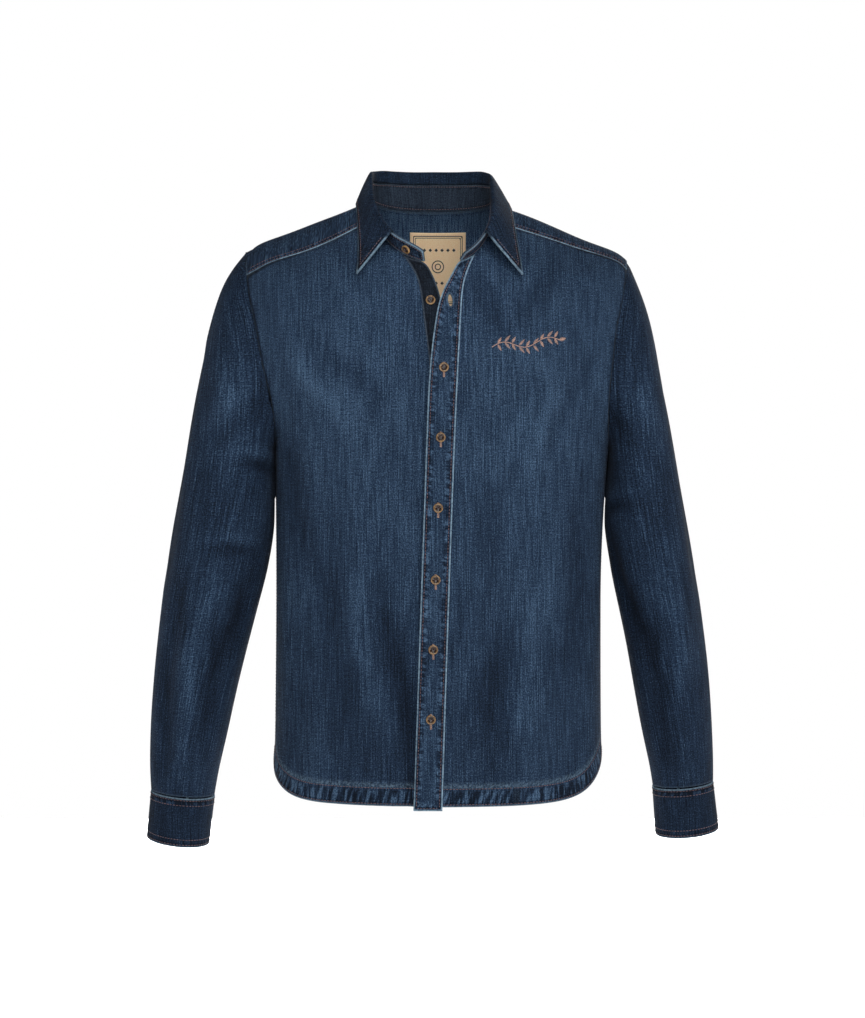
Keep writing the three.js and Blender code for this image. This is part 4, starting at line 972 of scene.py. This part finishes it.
def sprig():
    """A curling stem with leaves to both sides and a bud at its end."""
    start, end = np.array(SPRIG_START, float), np.array(SPRIG_END, float)

    def stem(t):
        spot = start + (end - start) * t
        return spot + np.array([0, 4.2 * math.sin(t * 3 * math.pi)])

    made = []
    for i in range(STEM_STITCHES):
        one, normal = on_front(*stem(i / STEM_STITCHES))
        two, _ = on_front(*stem((i + 1) / STEM_STITCHES))
        made.append(((one + two) / 2, two - one, normal, np.linalg.norm(two - one) * 1.25, 1.1))
    for i, t in enumerate(np.linspace(0.08, 0.92, LEAF_PAIRS)):
        root = stem(t)
        lean = 1 if i % 2 else -1
        for side in (1, -1):
            tip = root + np.array([5.5 + lean, side * 7.5])
            made += satin(root + np.array([0.8, side * 1.0]), tip, 1.5, 8)
    made += satin(stem(1.0), stem(1.0) + np.array([7.5, 2.0]), 2.2, 9)
    return made


sew("chest_embroidery", sprig(), EMBROIDERY)

# ---------------------------------------------------------------- pieces of cloth

# pieces drawn in the darker denim, painted shade where they lie in shade at the open neck
PAINTED_SHADE_PIECES = ("button_band", "collar_stand")


# Steps from the place on the label to the marks on it: result, operation, then numbers or earlier results.
LABEL_MARKS = [
    # two thin lines at fixed distances from the edge
    ("outer_line", "COMPARE", "edge", 4.4, 0.5),
    ("inner_line", "COMPARE", "edge", 6.4, 0.35),
    ("border", "MAXIMUM", "outer_line", "inner_line"),
    # a row of lozenges above and one below
    ("shifted", "ADD", "across", 100.0),
    ("step", "PINGPONG", "shifted", 3.5),
    ("from_middle", "ABSOLUTE", "up"),
    ("off_row", "SUBTRACT", "from_middle", 19.0),
    ("from_row", "ABSOLUTE", "off_row"),
    ("far", "ADD", "step", "from_row"),
    ("lozenge", "LESS_THAN", "far", 2.1),
    # two rings between them
    ("wave", "PINGPONG", "reach", 5.0),
    ("circles", "COMPARE", "wave", 3.2, 0.6),
    ("near", "LESS_THAN", "reach", 11.0),
    ("ring", "MULTIPLY", "circles", "near"),
    ("inside", "GREATER_THAN", "edge", 9.0),
    ("motifs", "MAXIMUM", "lozenge", "ring"),
    ("motifs", "MULTIPLY", "motifs", "inside"),
    ("marks", "MAXIMUM", "border", "motifs"),
]


def label_material():
    """Woven cotton tape in tan, matt, with a woven double border, rows of lozenges and rings."""
    material, tree = new_material("woven_cotton_label_tan")
    place = add(tree, "Attribute", out="Vector", attribute_name="label")
    across, up, edge = add(tree, "SeparateXYZ", [place]).node.outputs
    weave = add(tree, "TexNoise", {"Vector": place, "Scale": 0.9, "Detail": 2.0})
    ground = add(tree, "ValToRGB", [weave], stops=[(0.3, "F6CE9A"), (0.7, "FFE8C4")])
    # the motifs are centred 4 mm above the label's middle
    up = add(tree, "Math", [up, 4.0], operation="SUBTRACT")
    reach = add(tree, "CombineXYZ", [across, up, 0.0])
    reach = add(tree, "VectorMath", [reach], out="Value", operation="LENGTH")
    made = {"across": across, "up": up, "edge": edge, "reach": reach}
    for label, operation, *values in LABEL_MARKS:
        made[label] = add(tree, "Math", [made.get(v, v) for v in values], operation=operation)
    mixed = add(tree, "Mix", {0: made["marks"], 6: ground, 7: linear("3B3A3C")}, out=2, data_type="RGBA")
    bump = add(tree, "Bump", {"Height": weave, "Distance": 0.0003, "Strength": 0.6})
    tape = {"Base Color": mixed, "Normal": bump, "Roughness": 0.8, "Sheen Weight": 0.1}
    add(tree, "OutputMaterial", [add(tree, "BsdfPrincipled", tape)])
    return material


LABEL = label_material()

# The label hangs a little longer than its solid, as the open buttonhole shows it.
LABEL_STRETCH = 1.12

for name, shell in SHELLS.items():
    write_attributes(shell)
    material = DARK_DENIM_PAINTED_SHADE if name in PAINTED_SHADE_PIECES else WASHED
    if name == "neck_label":
        material = LABEL
        top = shell.points[:, 2].max()
        shell.points[:, 2] = top + (shell.points[:, 2] - top) * LABEL_STRETCH
        shell.data.vertices.foreach_set("co", (shell.points * MM).ravel())
        low, high = shell.points.min(0), shell.points.max(0)
        local = shell.points - (low + high) / 2
        beside, above = ((high - low)[k] / 2 - np.abs(local[:, k]) for k in (0, 2))
        edge = np.minimum(beside, above)
        made = shell.data.attributes.new("label", "FLOAT_VECTOR", "POINT")
        made.data.foreach_set("vector", np.stack([local[:, 0], local[:, 2], edge], 1).ravel())
    shell.data.materials.clear()
    for _ in (OUTSIDE, INSIDE, RIM):
        shell.data.materials.append(material)
    piece = put("cloth_" + name, shell.data)
    shell.data.name = piece.name
    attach(piece, "root")
    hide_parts(name)

# ---------------------------------------------------------------- buttons and buttonholes


def horn_material():
    """Moulded polyester button made to look like brown horn: glossy, cloudy, darker in its dish."""
    material, tree = new_material("cast_polyester_button_horn_brown")
    place = add(tree, "TexCoord", out="Object")
    dish = add(tree, "Attribute", out="Fac", attribute_name="dish")
    cloud = add(tree, "TexNoise", {"Vector": place, "Scale": 260.0, "Detail": 3.0, "Distortion": 1.5})
    tone = add(tree, "Math", [cloud, 0.45, dish], operation="MULTIPLY_ADD")
    shade = add(tree, "ValToRGB", [tone], stops=[(0.5, "120B08"), (0.72, "4A3323"), (1.0, "B08A5A")])
    glossy = {"Base Color": shade, "Roughness": 0.18, "IOR": 1.56}
    glossy.update({"Coat Weight": 0.3, "Coat Roughness": 0.08})
    add(tree, "OutputMaterial", [add(tree, "BsdfPrincipled", glossy)])
    return material


HORN = horn_material()

# A button's half section from its middle to its back, as shares of its radius.
BUTTON_SECTION = [(0, 0.06), (0.3, 0.06), (0.5, 0.1), (0.64, 0.24), (0.78, 0.34)]
BUTTON_SECTION += [(0.92, 0.3), (1, 0.14), (0.97, -0.06), (0.7, -0.14), (0, -0.14)]
HOLE_PLACE, HOLE_RADIUS = 0.2, 0.1


def button_mesh():
    """One button of radius 1 along +Z, with four sewing holes cut through its dish."""
    work = bmesh.new()
    line = [work.verts.new((r, 0, z)) for r, z in BUTTON_SECTION]
    edges = [work.edges.new(pair) for pair in zip(line, line[1:])]
    bmesh.ops.spin(
        work, geom=line + edges, axis=(0, 0, 1), cent=(0, 0, 0), angle=math.tau, steps=28, use_merge=True
    )
    bmesh.ops.remove_doubles(work, verts=work.verts, dist=1e-4)
    bmesh.ops.recalc_face_normals(work, faces=work.faces)
    blank = put("button_blank", finished_mesh(work, "button_blank"))
    work = bmesh.new()
    for x in (-HOLE_PLACE, HOLE_PLACE):
        for y in (-HOLE_PLACE, HOLE_PLACE):
            made = bmesh.ops.create_cone(
                work, cap_ends=True, segments=10, radius1=HOLE_RADIUS, radius2=HOLE_RADIUS, depth=2
            )
            bmesh.ops.translate(work, verts=made["verts"], vec=(x, y, 0))
    drill = put("button_drill", finished_mesh(work, "button_drill"))
    cut = blank.modifiers.new("holes", "BOOLEAN")
    cut.operation, cut.object, cut.solver = "DIFFERENCE", drill, "EXACT"
    made = bpy.data.meshes.new_from_object(blank.evaluated_get(bpy.context.evaluated_depsgraph_get()))
    bpy.data.objects.remove(blank)
    bpy.data.objects.remove(drill)
    made.polygons.foreach_set("use_smooth", [True] * len(made.polygons))
    dish = made.attributes.new("dish", "FLOAT", "POINT")
    dish.data.foreach_set("value", [0.78 * min(1.0, v.co.xy.length) for v in made.vertices])
    return made


BUTTON = button_mesh()
# The piece that each button sits on.
BUTTONS = {
    **{f"front_button_{i}": "front_placket" for i in range(2, 8)},
    "front_button_1": "button_band",
    "collar_button": "inner_collar_stand",
    "right_placket_button": "right_sleeve_placket",
    "right_cuff_button": "right_cuff",
    "left_placket_button": "left_sleeve_placket",
    "left_cuff_button": "left_cuff",
}


def button_pose(name, host):
    """A button's middle, axis and radius in mm, read from its solid and turned away from the cloth."""
    points = np.array([v.co[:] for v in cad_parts[name].data.vertices]) / MM
    middle = (points.min(0) + points.max(0)) / 2
    # a disc is thinnest along its axis
    axis = np.linalg.eigh(np.cov((points - points.mean(0)).T))[1][:, 0]
    _, normal, _, _ = SHELLS[host].sides[OUTSIDE].find_nearest(Vector(middle))
    if np.dot(axis, np.array(normal)) < 0:
        axis = -axis
    flat = points - middle
    radius = np.linalg.norm(flat - np.outer(flat @ axis, axis), axis=1).max()
    return middle, axis, radius


# A buttonhole below and above its button's middle, its stitches' pitch and half its width, in mm.
HOLE_REACH, HOLE_PITCH, HOLE_HALF_WIDTH = (-10.5, 6.6), 0.75, 0.55
thread, holes = [], []
for name, host in BUTTONS.items():
    middle, axis, radius = button_pose(name, host)
    up = np.array([0.0, 0.0, 1.0])
    up = up - axis * np.dot(up, axis)
    up /= np.linalg.norm(up)
    side = np.cross(up, axis)
    points = np.empty(len(BUTTON.vertices) * 3)
    BUTTON.vertices.foreach_get("co", points)
    points = points.reshape(-1, 3) @ (np.stack([side, up, axis]) * radius) + middle
    data = BUTTON.copy()
    data.vertices.foreach_set("co", (points * MM).ravel())
    data.materials.clear()
    data.materials.append(HORN)
    data.update()
    face_outward(data)
    piece = put("horn_" + name, data)
    data.name = piece.name
    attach(piece, "root")
    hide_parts(name)
    # two parallel bars of thread through the four holes
    hole = HOLE_PLACE * radius
    for s in (-1, 1):
        for lift in (0.08, 0.13):
            spot = middle + side * hole * s * (1 + lift) + axis * radius * lift
            thread.append((spot, up, axis, hole * 2.7, 0.6))
    # the buttonhole's whipped edges, seen above and below a fastened button
    if name in ("front_button_1", "collar_button"):
        continue
    for step in np.arange(*HOLE_REACH, HOLE_PITCH):
        for s in (-1, 1):
            spot = middle + up * step + side * s * HOLE_HALF_WIDTH
            found, normal, _, _ = SHELLS[host].sides[OUTSIDE].find_nearest(Vector(spot))
            if (found - Vector(spot)).length < 6:
                holes.append((np.array(found), side, np.array(normal), 1.3, 0.7))
sew("button_thread", thread)
sew("buttonhole_thread", holes, EMBROIDERY)
